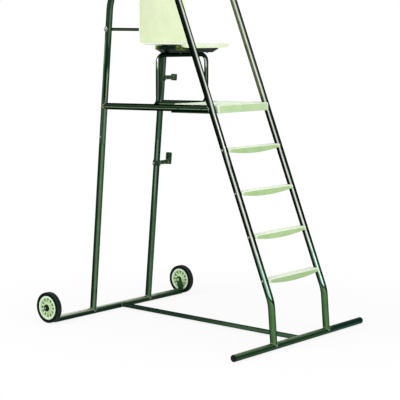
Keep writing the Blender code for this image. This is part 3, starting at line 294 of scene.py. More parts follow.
# each tube's zones paint its reflections and shade: pale streaks and tops are painted highlights, dark runs painted
# shade
tubes = {  # across, zones, grain, wander, roughness, slant and edge
    "upright": (acrossUpright,
        [(streakBands(0.58, 0.11), ()), (streakBands(0.68, 0.115), (("Z", 1.36, 1.50),)),
         (streakBands(0.47, 0.105), (("Z", 1.22, 1.06),))] + lowZones
        + [(byLeftEdge, (rearRun, ("Z", 1.83, 1.77))), (byRightSide, (rearRun, ("Z", 1.68, 1.60))),
           (belowRail, (rearRun, underRail))], alongZ, 0.04, 0.20, 0.04),
    "uprightBySeat": (acrossUpright,
        [(streakBands(0.44, 0.105), ()), (mirrored, (("Z", 1.36, 1.50),))] + lowZones
        + [(belowRailByHolder, (rearRun, underRail))], alongZ, 0.04, 0.20, 0.04),
    "leg": (acrossUpright,
        [([(0.0, "#33443a"), (0.14, "#1f3026"), (0.30, "#122616"), (0.42, "#3a563b"), (0.55, "#5d7b5b"),
           (0.66, "#5f7c59"), (0.84, "#3a543a"), (1.0, "#314a34")], ())], alongZ, 0.10, 0.24),
    "legByHolder": (acrossUpright,
        [([(0.0, "#33443a"), (0.14, "#1f3026"), (0.30, "#15291a"), (0.42, "#3a563b"), (0.55, "#56735a"),
           (0.70, "#48634a"), (0.86, "#3a543a"), (1.0, "#314a34")], ()),
         ([(0.0, "#2c3d30"), (0.12, "#132816"), (0.28, "#193320"), (0.38, "#56745a"), (0.47, "#7d997f"),
           (0.56, "#5f7d63"), (0.68, "#24402a"), (0.86, "#13291a"), (1.0, "#2c3d30")], (("Z", 0.60, 0.86),))],
        alongZ, 0.08, 0.24),
    "frontBar": (acrossLevel,
        [([(0.0, "#2b3d32"), (0.24, "#34493d"), (0.42, "#39543f"), (0.55, "#1e3721"), (0.70, "#1c351d"),
           (0.80, "#334b33"), (0.90, "#566c51"), (1.0, "#869681")], ()),
         ([(0.0, "#2f403a"), (0.24, "#3a4f48"), (0.40, "#35504a"), (0.52, "#20362f"), (0.62, "#182e27"),
           (0.80, "#152926"), (0.92, "#1f2f29"), (1.0, "#4a5a52")], (("Y", 0.24, 0.34),))],
        alongY, 0.07, 0.22, 0.0, paleEdge),
    "rearBar": (acrossLevel,
        [([(0.0, "#24312e"), (0.30, "#1a271e"), (0.56, "#1c2a20"), (0.68, "#2f3c2e"), (0.77, "#76816f"),
           (0.85, "#b4bca9"), (0.93, "#dadfd0"), (1.0, "#eef0e6")], ()),
         ([(0.0, "#2f3d36"), (0.30, "#1c2d22"), (0.60, "#22342a"), (0.80, "#33443a"), (0.90, "#7b8a79"),
           (1.0, "#dbe5d3")], (("Y", -0.27, -0.24),)),
         ([(0.0, "#3b4d41"), (0.30, "#2b3a2e"), (0.56, "#1c2a1b"), (0.68, "#2b3a2a"), (0.77, "#56624f"),
           (0.86, "#949d8b"), (1.0, "#ccd2c1")], (("Y", -0.01, 0.04),)),
         ([(0.0, "#36443b"), (0.30, "#25342a"), (0.58, "#19291c"), (0.72, "#2d4030"), (0.84, "#5b6b59"),
           (0.93, "#7f8d7b"), (1.0, "#99a694")], (("Y", 0.27, 0.36),))], alongY, 0.07, 0.22, 0.0, paleEdge),
    "rail": (acrossLevel,
        [([(0.0, "#1a2c1f"), (0.10, "#0a180e"), (0.27, "#12241a"), (0.34, "#43573f"), (0.40, "#7f9176"),
           (0.46, "#43573f"), (0.52, "#13251a"), (0.58, "#15281b"), (0.67, "#324232"), (0.78, "#2c3b2d"),
           (0.88, "#13231a"), (1.0, "#1f2d22")], ())],
        alongX, 0.08, 0.20),
    "spine": (acrossLevel,
        [([(0.0, "#33473a"), (0.40, "#2f4335"), (0.70, "#25372c"), (0.92, "#2b3b31"), (1.0, "#455349")], ()),
         ([(0.0, "#4b614a"), (0.40, "#425a42"), (0.70, "#3a523c"), (0.92, "#304734"), (1.0, "#455a48")],
          (("X", -0.1, 0.4),))], alongX, 0.08, 0.22),
    "seatTube": (acrossUpright,
        [([(0.0, "#2b382d"), (0.16, "#141f16"), (0.34, "#233127"), (0.46, "#66745f"), (0.54, "#57654f"),
           (0.66, "#26352a"), (0.84, "#16221a"), (1.0, "#36433a")], ()),
         ([(0.0, "#2b382d"), (0.14, "#1a261c"), (0.26, "#5f6d5b"), (0.36, "#d2dacb"), (0.45, "#dfe6d8"),
           (0.56, "#5f6d5b"), (0.70, "#1a261c"), (1.0, "#36433a")], (("Z", 1.630, 1.665),)),
         ([(0.0, "#18231a"), (0.40, "#0e1811"), (0.60, "#142018"), (1.0, "#1d2a20")], (("Z", 1.692, 1.720),))],
        alongZ, 0.07, 0.20),
}
finish = {key: polishedTube("polishedStainless" + key[0].upper() + key[1:], *settings)
          for key, settings in tubes.items()}
steel = {"Metallic": 1.0}
finish.update({
    "holder": plainFinish(  # turned steel, zinc plated: dull dark green grey with a fine turned grain
        "turnedSteelHolder", "#15261a", "#3a4f3a", steel, 0.30, 14, 1.2, 0.0003),
    "weld": plainFinish(  # weld bead, brushed after welding: rough and duller than the tube
        "brushedWeldBead", "#586650", "#93a086", steel, 0.36, 6, 1.0, 0.0004),
    "fastener": plainFinish(  # stainless screw, cold headed: bright and a little scuffed
        "coldHeadedStainless", "#6f7b6c", "#a5b0a2", steel, 0.28, 5, 0.8, 0.0002),
    "darkFastener": plainFinish(  # black-oxide steel screw: dull, dark and oily
        "blackOxideSteel", "#1c281e", "#344233", steel, 0.34, 5, 0.8, 0.0002),
    "axle": plainFinish(  # steel bolt, yellow zinc plated: pale and slightly green
        "zincPlatedSteel", "#86a57b", "#b0cba3", steel, 0.36, 5, 0.8, 0.0002),
    "platePaint": plainFinish(  # steel plate, stoved dark green paint: satin with orange peel
        "stovedGreenPaint", "#13300f", "#21451b", {"IOR": 1.5, "Specular IOR Level": 0.12}, 0.40, 30, 2.4, 0.0004),
    "tray": paintWithLitPatches(
        "stovedBlackPaintLitPatches", "#020e0a", "#0a2118", "#7f9a44",
        [(("X", -0.030, -0.016), ("Y", -0.085, -0.150)), (("X", -0.160, -0.192), ("Y", -0.150, -0.185))], 0.38),
    "sleevePaint": plainFinish(  # steel sleeve, stoved black paint: satin
        "stovedBlackPaint", "#0c130d", "#1a241b", {"IOR": 1.5, "Specular IOR Level": 0.2}, 0.40, 30, 2.4, 0.0004),
    "blackPlastic": plainFinish(  # nylon, moulded black: satin and slightly grained
        "mouldedBlackNylon", "#030904", "#0b170d", {"IOR": 1.53, "Specular IOR Level": 0.10}, 0.42, 12, 1.0, 0.0003),
    "rubber": mouldedRubber("mouldedSolidRubber", "#243531", "#101d19", "#020c05", 0.62),
    "rim": mouldedRim(
        "mouldedWheelPolypropylene", 0.6466, (0.002, 0.018),
        [(0.0, "#8cab66"), (0.35, "#9dba7c"), (0.60, "#bfdaa8"), (0.74, "#c8e1b4"), (0.94, "#d3ecce")], 0.44),
    "tread": mouldedBoard(
        "mouldedPolypropyleneTread", "#f4fde8", "#b2d094", "#a6c688", 0.44, (0.15, 0.60), (0.225, 0.252)),
    # the lowest tread is painted darker than the others: painted shade
    "shadedLowTread": mouldedBoard(
        "mouldedPolypropyleneShadedLowTread", "#eef8e4", "#a2c389", "#97b97d", 0.44, (0.15, 0.60), (0.225, 0.252)),
    "board": mouldedBoard(
        "mouldedPolypropyleneBoard", "#e6f3da", "#c2ddab", "#b8d6a0", 0.44, (0.15, 0.60), (0.219, 0.242)),
    "seat": mouldedBoard(
        "mouldedPolypropyleneSeat", "#e7f0df", "#f4fdda", "#edf8ce", 0.40, (0.45, 0.95), (0.205, 0.232)),
})
print("materials made:", len(finish))


# mesh helpers

def roundedPath(corners, radii, steps):
    points = [corners[0]]
    for before, corner, after, size in zip(corners, corners[1:], corners[2:], radii):
        back, ahead = (before - corner).normalized(), (after - corner).normalized()
        half = back.angle(ahead) / 2
        centre = corner + (back + ahead).normalized() * size / math.sin(half)
        first = corner + back * size / math.tan(half) - centre
        last = corner + ahead * size / math.tan(half) - centre
        normal = first.cross(last).normalized()
        for step in range(steps + 1):
            turn = Matrix.Rotation(first.angle(last) * step / steps, 3, normal)
            points.append(centre + turn @ first)
    return points + [corners[-1]]


def circle(count):  # cosine and sine of each point
    return [(math.cos(math.tau * k / count), math.sin(math.tau * k / count)) for k in range(count)]


def squareTo(axis, side):
    side = (side - axis * side.dot(axis)).normalized()
    return side, axis.cross(side)


def joinLoops(bm, loops, closed=False):
    for first, second in list(zip(loops, loops[1:])) + ([(loops[-1], loops[0])] if closed else []):
        for i in range(len(first)):
            k = (i + 1) % len(first)
            bm.faces.new((first[i], first[k], second[k], second[i]))


def solidLoops(bm, loops):  # joined, with both ends closed
    joinLoops(bm, loops)
    bm.faces.new(list(reversed(loops[0])))
    bm.faces.new(loops[-1])


def sweep(bm, points, sizes, count, across, closed=False):
    loops, side = [], across
    for i, point in enumerate(points):
        before = points[i - 1] if i or closed else point
        after = points[(i + 1) % len(points)] if i + 1 < len(points) or closed else point
        side, third = squareTo((after - before).normalized(), side)
        size = sizes[i] if isinstance(sizes, list) else sizes
        loops.append([bm.verts.new(point + (side * c + third * s) * size) for c, s in circle(count)])
    if closed:
        joinLoops(bm, loops, True)
    else:
        solidLoops(bm, loops)


def chamferedEnds(points, size, chamfer):
    first = (points[1] - points[0]).normalized() * chamfer
    last = (points[-2] - points[-1]).normalized() * chamfer
    run = [points[0], points[0] + first] + points[1:-1] + [points[-1] + last, points[-1]]
    return run, [size - chamfer] + [size] * (len(run) - 2) + [size - chamfer]


def turned(bm, profile, origin, axis, count, closed=False):  # profile of radius and place along the axis
    side, third = squareTo(axis, xAxis if abs(axis.dot(xAxis)) < 0.9 else zAxis)
    loops = []
    for size, along in profile:
        spots = circle(count) if size > 0 else [(1, 0)]
        loops.append([bm.verts.new(origin + axis * along + (side * c + third * s) * size) for c, s in spots])
    for first, second in list(zip(loops, loops[1:])) + ([(loops[-1], loops[0])] if closed else []):
        for i in range(count):
            k = (i + 1) % count
            corners = [first[i % len(first)], first[k % len(first)], second[k % len(second)],
                       second[i % len(second)]]
            bm.faces.new(list(dict.fromkeys(corners)))


def filletProfile(profile, size, steps, closed=False):
    flat = [Vector((r, 0, a)) for r, a in profile]
    if closed:
        flat = [(flat[-1] + flat[0]) / 2] + flat + [(flat[-1] + flat[0]) / 2]
    path = roundedPath(flat, [size] * (len(flat) - 2), steps)
    return [(p.x, p.z) for p in (path[1:] if closed else path)]


def smooth(mesh, sharpAngle):
    mesh.shade_smooth()
    mesh.set_sharp_from_angle(angle=math.radians(sharpAngle))


def toMesh(bm, name, sharpAngle=38):
    bmesh.ops.recalc_face_normals(bm, faces=bm.faces)
    mesh = bpy.data.meshes.new(name)
    bm.to_mesh(mesh)
    bm.free()
    smooth(mesh, sharpAngle)
    return mesh


def addObject(name, content):
    thing = bpy.data.objects.new(name, content)
    bpy.context.scene.collection.objects.link(thing)
    return thing


def addPiece(name, mesh, surface, slot, nodes=(), body="chair_frame"):
    piece = addObject(name, mesh)
    mesh.materials.append(finish[surface])
    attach(piece, body)
    if nodes:
        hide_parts(*nodes)
    return piece


def turnedPiece(name, profile, origin, axis, count, closed, sharpAngle, *looks):
    bm = bmesh.new()
    turned(bm, profile, origin, axis, count, closed)
    return addPiece(name, toMesh(bm, name, sharpAngle), *looks)


def settle(piece, sharpAngle=38):  # keeps what the modifiers made, and drops them
    graph = bpy.context.evaluated_depsgraph_get()
    mesh = bpy.data.meshes.new_from_object(piece.evaluated_get(graph))
    piece.modifiers.clear()
    piece.data = mesh
    smooth(mesh, sharpAngle)


def carve(piece, bm):
    cutter = addObject("cutter", toMesh(bm, "cutter"))
    step = piece.modifiers.new("carve", "BOOLEAN")
    step.operation, step.solver, step.object = "DIFFERENCE", "EXACT", cutter
    settle(piece)
    bpy.data.objects.remove(cutter)


def bevelEdges(piece, width, segments=2, angle=40):
    edge = piece.modifiers.new("edges", "BEVEL")
    edge.width, edge.segments = width, segments
    edge.limit_method, edge.angle_limit = "ANGLE", math.radians(angle)


def softenEdges(piece, *sizes):
    bevelEdges(piece, *sizes)
    settle(piece)


# tube work

tubeWork = {"sides": 44, "chamfer": 0.0009, "archSteps": 44, "footSteps": 14, "seatSteps": 14, "seamGap": 0.0004,
            "barRadius": 0.02125, "frontHalf": 0.649, "rearHalf": 0.616, "spineRadius": 0.015, "sharp": 24}


def tubePiece(name, node, points, size, surface, across=yAxis):
    bm = bmesh.new()
    run, sizes = chamferedEnds(points, size, tubeWork["chamfer"])
    sweep(bm, run, sizes, tubeWork["sides"], across)
    addPiece(name, toMesh(bm, name, tubeWork["sharp"]), surface, "polished_tube", [node])


joint = Vector((legX(chair["jointHeight"]), 0, chair["jointHeight"]))
bend = Vector((stileX(chair["footBendHeight"]), 0, chair["footBendHeight"]))
seam = legUp * tubeWork["seamGap"]
arch = roundedPath([joint + seam, hoopApex(), bend], [chair["archRadius"]], tubeWork["archSteps"])
ankle = roundedPath([arch[-2], bend, toe], [chair["footBendRadius"]], tubeWork["footSteps"])
for side, sign in sides.items():
    near = side == "right"
    for name, node, run, surface in (
            ("hoopTube_", "hoop_", arch[:-1] + ankle[1:], "upright" if near else "uprightBySeat"),
            ("legTube_", "rear_leg_", [heel, joint - seam], "leg" if near else "legByHolder"),
            ("railTube_", "rail_", [railRear, railFront], "rail")):
        tubePiece(name + side, node + side, [p + yAxis * sign * chair["halfSpacing"] for p in run], radius, surface)

barRadius = tubeWork["barRadius"]
for name, node, x, half in (("frontBar", "front_base_bar", chair["frontX"], tubeWork["frontHalf"]),
                            ("rearBar", "rear_base_bar", chair["rearX"], tubeWork["rearHalf"])):
    tubePiece(name, node, [Vector((x, end, barRadius)) for end in (-half, half)], barRadius, name, zAxis)
tubePiece("spineTube", "centre_spine", [heel, toe], tubeWork["spineRadius"], "spine")

seatTube = {"radius": 0.014, "x": -0.1451, "halfWidth": 0.2342, "top": 1.728, "rear": -0.3101,
            "footBend": 0.055, "topBend": 0.050}
half = [(x, railPoint(x).z) for x in (seatTube["rear"], seatTube["x"])] + [(seatTube["x"], seatTube["top"])]
corners = [Vector((x, -seatTube["halfWidth"], z)) for x, z in half]
corners += [Vector((x, seatTube["halfWidth"], z)) for x, z in reversed(half)]
bends = [seatTube[end + "Bend"] for end in ("foot", "top", "top", "foot")]
tubePiece("seatFrameTube", "seat_frame", roundedPath(corners, bends, tubeWork["seatSteps"]), seatTube["radius"],
          "seatTube")

tieRod = {"radius": 0.010, "half": 0.3005, "nutSeat": 0.2918, "nutAcross": 0.0145, "nutHeight": 0.0065,
          "nutBevel": 0.0008, "nutSharp": 30, "dome": 0.0095, "domeRise": 0.75, "domeSink": 0.0003,
          "domeFoot": 0.0001, "domeSides": 32}
rodCentre = Vector((legX(chair["tieRodHeight"]), 0, chair["tieRodHeight"]))
tubePiece("tieRodBar", "tie_rod", [rodCentre + yAxis * end * tieRod["half"] for end in (-1, 1)], tieRod["radius"],
          "rail", zAxis)
print("tubes swept")


# weld beads where tubes meet

bead = {"radius": 0.0030, "ripple": 0.16, "rippleLength": 0.005, "points": 96, "sides": 8, "sink": 0.0002,
        "sharp": 60}


def weldRing(bm, main, mainAxis, mainRadius, branch, branchAxis, branchRadius):
    side, third = squareTo(branchAxis, yAxis if abs(branchAxis.dot(yAxis)) < 0.9 else xAxis)
    slope = branchAxis - mainAxis * branchAxis.dot(mainAxis)
    points = []
    for c, s in circle(bead["points"]):
        start = branch + (side * c + third * s) * branchRadius
        apart = (start - main) - mainAxis * (start - main).dot(mainAxis)
        half = slope.dot(apart) / slope.dot(slope)
        room = half * half - (apart.dot(apart) - mainRadius ** 2) / slope.dot(slope)
        points.append(start + branchAxis * (math.sqrt(max(room, 0)) - half))
    ripples = round(math.tau * branchRadius / bead["rippleLength"])
    sizes = [bead["radius"] * (1 + bead["ripple"] * math.sin(math.tau * ripples * i / len(points)))
             for i in range(len(points))]
    sweep(bm, points, sizes, bead["sides"], branchAxis, closed=True)


def weldPiece(name, *joints):
    bm = bmesh.new()
    for joint in joints:
        weldRing(bm, *joint)
    addPiece(name, toMesh(bm, name, bead["sharp"]), "weld", "bright_steel")


railAlong = (railFront - railRear).normalized()
for side, sign in sides.items():
    aside = yAxis * sign * chair["halfSpacing"]
    weldPiece("legWeld_" + side, (heel + aside, yAxis, barRadius, heel + aside, legUp, radius))
    weldPiece("footWeld_" + side, (toe + aside, yAxis, barRadius, toe + aside, footUp, radius))
    weldPiece("railWeld_" + side,
              (railRear + aside, legUp, radius, railRear + aside, railAlong, radius - bead["sink"]),
              (railFront + aside, stileUp, radius, railFront + aside, -railAlong, radius - bead["sink"]))
weldPiece("spineWelds", (heel, yAxis, barRadius, heel, xAxis, tubeWork["spineRadius"]),
          (toe, yAxis, barRadius, toe, -xAxis, tubeWork["spineRadius"]))
print("welds laid")


# moulded treads and footboard

treadWork = {"first": 0.4144, "pitch": 0.2528, "count": 4, "depth": 0.066, "nose": 0.0275, "halfWidth": 0.2565,
             "middleDeep": 0.040, "endDeep": 0.020, "edge": 0.006, "skin": 0.004, "endBlock": 0.040,
             "ridgePitch": 0.0075, "ridgeWidth": 0.0034, "ridgeHeight": 0.0005, "cells": (7, 1), "rib": 0.003}
boardWork = {"rise": 0.004, "depth": 0.358, "nose": 0.031, "halfWidth": 0.2482, "thick": 0.049, "edge": 0.006,
             "skin": 0.004, "endBlock": 0.040, "ridgePitch": 0.0125, "ridgeWidth": 0.0050, "ridgeHeight": 0.0005,
             "cells": (5, 4), "rib": 0.003}
stepWork = {"cornerSteps": 6, "stations": 36, "ridgeStop": 0.016, "ridgeFade": 0.010, "leastCorner": 0.0004,
            "ridge": ((0.5, 0), (0.28, 1), (-0.28, 1), (-0.5, 0)), "cutOver": 0.004, "stileReach": 0.12,
            "stileGap": 0.0004, "stileSides": 64, "sharp": 32}
cornerTurns = [90 * k / stepWork["cornerSteps"] for k in range(stepWork["cornerSteps"] + 1)]


def stepSection(work, deep, inset, ridge):
    depth, corner = work["depth"], max(work["edge"] - inset, stepWork["leastCorner"])
    low, high, back, fore = -deep + inset, -inset, -depth + inset, -inset
    outline = []
    for cx, cz, start in ((fore - corner, high - corner, 0), (back + corner, high - corner, 90),
                          (back + corner, low + corner, 180), (fore - corner, low + corner, 270)):
        for turn in cornerTurns:
            angle = math.radians(start + turn)
            outline.append((cx + corner * math.cos(angle), cz + corner * math.sin(angle)))
        if start == 0:  # low ridges along the top, from the front to the back
            count = int((depth - 4 * work["edge"]) / work["ridgePitch"])
            first = -depth / 2 + (count - 1) * work["ridgePitch"] / 2
            for i in range(count):
                middle = first - i * work["ridgePitch"]
                outline += [(middle + place * work["ridgeWidth"], high + rise * ridge)
                            for place, rise in stepWork["ridge"]]
    return outline


def mouldedStep(name, node, work, surface, front, top, deepAt):
    half, edge, count = work["halfWidth"], work["edge"], stepWork["stations"]
    rim = [edge * (1 - math.cos(math.radians(turn))) for turn in cornerTurns]
    inner = [-half + edge + (2 * half - 2 * edge) * k / count for k in range(1, count)]
    bm = bmesh.new()
    loops = []
    for y in [-half + r for r in rim] + inner + [half - r for r in reversed(rim)]:
        inside = half - abs(y)
        inset = edge - math.sqrt(max(edge ** 2 - max(edge - inside, 0) ** 2, 0))
        fade = min(max((inside - stepWork["ridgeStop"]) / stepWork["ridgeFade"], 0), 1)
        outline = stepSection(work, deepAt(y), inset, work["ridgeHeight"] * fade)
        loops.append([bm.verts.new((front + x, y, top + z)) for x, z in outline])
    solidLoops(bm, loops)
    return addPiece(name, toMesh(bm, name, stepWork["sharp"]), surface, "white_plastic", [node])


def cellsUnder(bm, work, front, top, deep):  # the hollows between the ribs, as boxes to cut out
    across, along = work["cells"]
    span = 2 * (work["halfWidth"] - work["endBlock"])
    wide = (span - (across - 1) * work["rib"]) / across
    long = (work["depth"] - 2 * work["skin"] - (along - 1) * work["rib"]) / along
    for i in range(across):
        for k in range(along):
            y = -span / 2 + i * (wide + work["rib"])
            x = front - work["skin"] - (k + 1) * long - k * work["rib"]
            low = Vector((x, y, top - deep - stepWork["cutOver"]))
            high = Vector((x + long, y + wide, top - work["skin"]))
            place = Matrix.Translation((high + low) / 2) @ Matrix.Diagonal((*(high - low), 1))
            bmesh.ops.create_cube(bm, size=1, matrix=place)


def lensDeep(y):  # an arc, deepest at the middle of the tread
    sag = treadWork["middleDeep"] - treadWork["endDeep"]
    bow = (treadWork["halfWidth"] ** 2 + sag ** 2) / (2 * sag)
    return treadWork["middleDeep"] - bow + math.sqrt(bow ** 2 - y ** 2)


for index in range(treadWork["count"]):
    top = treadWork["first"] + index * treadWork["pitch"]
    front = stileX(top) + treadWork["nose"]
    tread = mouldedStep("treadBoard_%d" % (index + 1), "tread_%d" % (index + 1), treadWork,
                        "tread" if index else "shadedLowTread", front, top, lensDeep)
    bm = bmesh.new()
    cellsUnder(bm, treadWork, front, top, treadWork["middleDeep"])
    for sign in sides.values():
        reach = stepWork["stileReach"]
        ends = [Vector((stileX(z), sign * chair["halfSpacing"], z)) for z in (top - reach, top + reach)]
        sweep(bm, ends, radius + stepWork["stileGap"], stepWork["stileSides"], yAxis)
    carve(tread, bm)

boardTop = treadWork["first"] + treadWork["count"] * treadWork["pitch"] + boardWork["rise"]
boardFront = stileX(chair["railHeight"]) + boardWork["nose"]
board = mouldedStep("footBoard", "footboard", boardWork, "board", boardFront, boardTop,
                    lambda y: boardWork["thick"])
bm = bmesh.new()
cellsUnder(bm, boardWork, boardFront, boardTop, boardWork["thick"])
carve(board, bm)

# dark strips under the rails, beside the footboard: dark pieces standing in for the shade on the board's sides,
# painted shade
shadeStrip = {"width": 0.010, "bite": 0.0015, "drop": 0.009, "edge": 0.0010, "sharp": 20}
railDown = railAlong.cross(yAxis) * -1
for side, sign in sides.items():
    aside = yAxis * sign * chair["halfSpacing"]
    bm = bmesh.new()
    loops = []
    for end in (railPoint(boardFront - boardWork["depth"]), railFront):
        loops.append([bm.verts.new(end + aside + yAxis * edge * shadeStrip["width"] / 2 + railDown * (radius + drop))
                      for edge, drop in ((-1, -shadeStrip["bite"]), (1, -shadeStrip["bite"]), (1, shadeStrip["drop"]),
                                         (-1, shadeStrip["drop"]))])
    solidLoops(bm, loops)
    bar = addPiece("shadeStripBar_" + side, toMesh(bm, "shadeStripBar", shadeStrip["sharp"]), "rail", "polished_tube")
    softenEdges(bar, shadeStrip["edge"])
print("treads and footboard moulded")


# seat: one moulded shell, and the pressed tray under it

seat = {"sit": 1.7931, "front": 0.0509, "panLength": 0.390, "backHeight": 0.385, "lean": math.radians(3.0),
        "lipDrop": 0.022, "lipRadius": 0.016, "bend": 0.050, "topRoll": 0.018, "topRadius": 0.014, "bendSteps": 10,
        "halfWidth": 0.235, "taper": 0.10, "wrap": 0.040, "dish": 0.008, "power": 4, "thick": 0.005,
        "corner": 0.030, "across": 56, "step": 0.008, "edge": (0.0016, 3, 55), "sharp": 60, "panBand": 0.004}
seatRear = seat["front"] - seat["panLength"]


def seatProfile():
    top = Vector((seatRear - math.tan(seat["lean"]) * seat["backHeight"], 0, seat["sit"] + seat["backHeight"]))
    corners = [Vector((seat["front"], 0, seat["sit"] - seat["lipDrop"])), Vector((seat["front"], 0, seat["sit"])),
               Vector((seatRear, 0, seat["sit"])), top, top - xAxis * seat["topRoll"]]
    path = roundedPath(corners, [seat["lipRadius"], seat["bend"], seat["topRadius"]], seat["bendSteps"])
    fine = [path[0]]
    for a, b in zip(path, path[1:]):
        pieces = max(1, math.ceil((b - a).length / seat["step"]))
        fine += [a.lerp(b, k / pieces) for k in range(1, pieces + 1)]
    return fine


profile = seatProfile()
runs = [0.0]
for a, b in zip(profile, profile[1:]):
    runs.append(runs[-1] + (b - a).length)
bm = bmesh.new()
loops = []
for point, run in zip(profile, runs):
    turn = min(max((seatRear + seat["bend"] - point.x) / seat["bend"], 0), 1)
    turn = max(turn, min((point.z - seat["sit"]) / seat["bend"], 1))  # 0 on the pan, 1 on the back
    facing = Matrix.Rotation((math.pi / 2 - seat["lean"]) * turn, 3, yAxis) @ zAxis
    wrap = seat["dish"] + (seat["wrap"] - seat["dish"]) * turn
    rise = max(point.z - seat["sit"], 0) / seat["backHeight"]
    short = max(seat["corner"] - min(run, runs[-1] - run), 0)
    full = seat["halfWidth"] * (1 - seat["taper"] * rise)
    half = full - (seat["corner"] - math.sqrt(max(seat["corner"] ** 2 - short ** 2, 0)))  # rounded corners
    row = []
    for k in range(seat["across"] + 1):
        share = math.sin(math.pi * (k / seat["across"] - 0.5))  # closer together at the edges
        curl = wrap * (abs(half * share) / full) ** seat["power"]
        row.append(bm.verts.new(point + facing * curl + yAxis * half * share))
    loops.append(row)
for first, second in zip(loops, loops[1:]):
    for k in range(seat["across"]):
        bm.faces.new((first[k], first[k + 1], second[k + 1], second[k]))
mesh = toMesh(bm, "seatShell", seat["sharp"])
if sum(f.normal.z for f in mesh.polygons if abs(f.center.z - seat["sit"]) < seat["panBand"]) < 0:
    mesh.flip_normals()
shell = addPiece("seatShell", mesh, "seat", "white_plastic", ["seat_shell"])
wall = shell.modifiers.new("wall", "SOLIDIFY")
wall.thickness, wall.offset = seat["thick"], -1
settle(shell, seat["sharp"])
softenEdges(shell, *seat["edge"])

tray = {"x": -0.1076, "floor": 1.7448, "flangeTop": 1.7658, "top": 1.7878, "base": (0.070, 0.165),
        "rim": (0.088, 0.197), "flange": 0.008, "sheet": 0.0025, "edge": (0.0011, 2, 25), "sharp": 20}
under = tray["flangeTop"] - tray["sheet"]
bm = bmesh.new()
loops = []
for outline, spread, height in (
        ("base", 0, tray["floor"]), ("rim", 0, tray["flangeTop"]), ("rim", 0, tray["top"]),
        ("rim", tray["sheet"], tray["top"]), ("rim", tray["sheet"], tray["flangeTop"]),
        ("rim", tray["flange"], tray["flangeTop"]), ("rim", tray["flange"], under), ("rim", tray["sheet"], under),
        ("base", tray["sheet"], tray["floor"] - tray["sheet"])):
    a, b = (size + spread for size in tray[outline])
    loops.append([bm.verts.new((tray["x"] + u, v, height)) for u, v in ((a, b), (-a, b), (-a, -b), (a, -b))])
solidLoops(bm, loops)
pressed = addPiece("seatTray", toMesh(bm, "seatTray", tray["sharp"]), "tray", "dark_steel", ["seat_saddle"])
softenEdges(pressed, *tray["edge"])
print("seat moulded")


# parasol holder: cup and guide ring, each a clamp collar, an arm and a turned socket

holder = {"offset": 0.121, "collarOuter": 0.0278, "collarHalf": 0.017, "armRadius": 0.0145, "armSink": 0.003,
          "socketOuter": 0.0215, "wall": 0.003, "floor": 0.005, "fillet": (0.0012, 3), "sides": 48, "armSides": 32,
          "sharp": 32, "weldStart": 0.02, "weldEnd": 0.002,
          "cup": {"height": 0.982, "low": -0.015, "high": 0.063},
          "ring": {"height": 1.56799, "low": -0.021, "high": 0.021}}
for label in ("cup", "ring"):
    height, low, high = (holder[label][key] for key in ("height", "low", "high"))
    centre = Vector((legX(height), chair["halfSpacing"], height))
    socket = centre + yAxis * holder["offset"]
    outer, bore = holder["socketOuter"], holder["socketOuter"] - holder["wall"]
    bm = bmesh.new()
    inner, wide, deep = radius + chair["clearance"], holder["collarOuter"], holder["collarHalf"]
    collar = [(inner, -deep), (wide, -deep), (wide, deep), (inner, deep)]
    turned(bm, filletProfile(collar, *holder["fillet"], True), centre, legUp, holder["sides"], True)
    sweep(bm, [centre + yAxis * (radius + holder["armSink"]), socket - yAxis * (outer - holder["wall"] / 2)],
          holder["armRadius"], holder["armSides"], xAxis)
    through = label == "ring"
    tube = [(bore if through else 0, low), (outer, low), (outer, high), (bore, high)]
    if not through:
        tube += [(bore, low + holder["floor"]), (0, low + holder["floor"])]
    turned(bm, filletProfile(tube, *holder["fillet"], through), socket, legUp, holder["sides"], through)
    name = "parasol" + label.capitalize()
    addPiece(name, toMesh(bm, name, holder["sharp"]), "holder", "polished_tube", ["parasol_" + label])
    start, end = centre + yAxis * holder["weldStart"], socket - yAxis * holder["weldEnd"]
    weldPiece(name + "Welds", (centre, legUp, wide, start, yAxis, holder["armRadius"]),
              (socket, legUp, outer, end, -yAxis, holder["armRadius"]))
print("parasol holder turned")


# wheels

wheel = {"x": -0.73184, "height": 0.101, "middle": 0.6466, "radius": 0.100, "half": 0.020, "tyreDeep": 0.0225,
         "tyreFit": 0.0002, "rimFit": 0.0001, "rimInset": 0.002, "rimLip": 0.013, "rimFillet": (0.0009, 3),
         "hub": 0.0245, "standOff": 0.004, "bore": 0.00925, "web": 0.012, "count": 96, "sharp": 34,
         "pockets": 12, "pocketDeep": 0.009, "pocketRib": 0.012, "pocketMargin": 0.004, "pocketInner": 0.0145,
         "pocketOver": 0.004, "pocketDraft": (1.03, 0.93), "pocketSteps": 6,
         "shoulder": ((0.016, 0.0004), (0.012, 0), (0.004, 0), (0.0022, 0.0007), (0.0008, 0.0022), (0, 0.0052)),
         "grooves": (-0.0055, 0.0055), "grooveWide": 0.0024, "grooveDeep": 0.0018}
rimOuter = wheel["radius"] - wheel["tyreDeep"]


def tyreProfile():
    outer, half = wheel["radius"], wheel["half"]
    side = [(rimOuter + wheel["tyreFit"], wheel["rimInset"] - half)]
    side += [(outer - down, inward - half) for down, inward in wheel["shoulder"]]
    crown = []
    for middle in wheel["grooves"]:
        a, d = wheel["grooveWide"] / 2, wheel["grooveDeep"]
        crown += [(outer, middle - a), (outer - d, middle - a / 2), (outer - d, middle + a / 2), (outer, middle + a)]
    return side + crown + [(r, -a) for r, a in reversed(side)]


def rimProfile():
    half, hub, web, bore = wheel["half"], wheel["hub"], wheel["web"], wheel["bore"]
    lipFace, outer, inside = half - wheel["rimInset"], rimOuter - wheel["rimFit"], half + wheel["standOff"]
    lip = outer - wheel["rimLip"]
    return [(bore, -inside), (hub, -inside), (hub, -web), (lip, -web), (lip, -lipFace), (outer, -lipFace),
            (outer, lipFace), (lip, lipFace), (lip, web), (hub, web), (hub, half), (bore, half)]


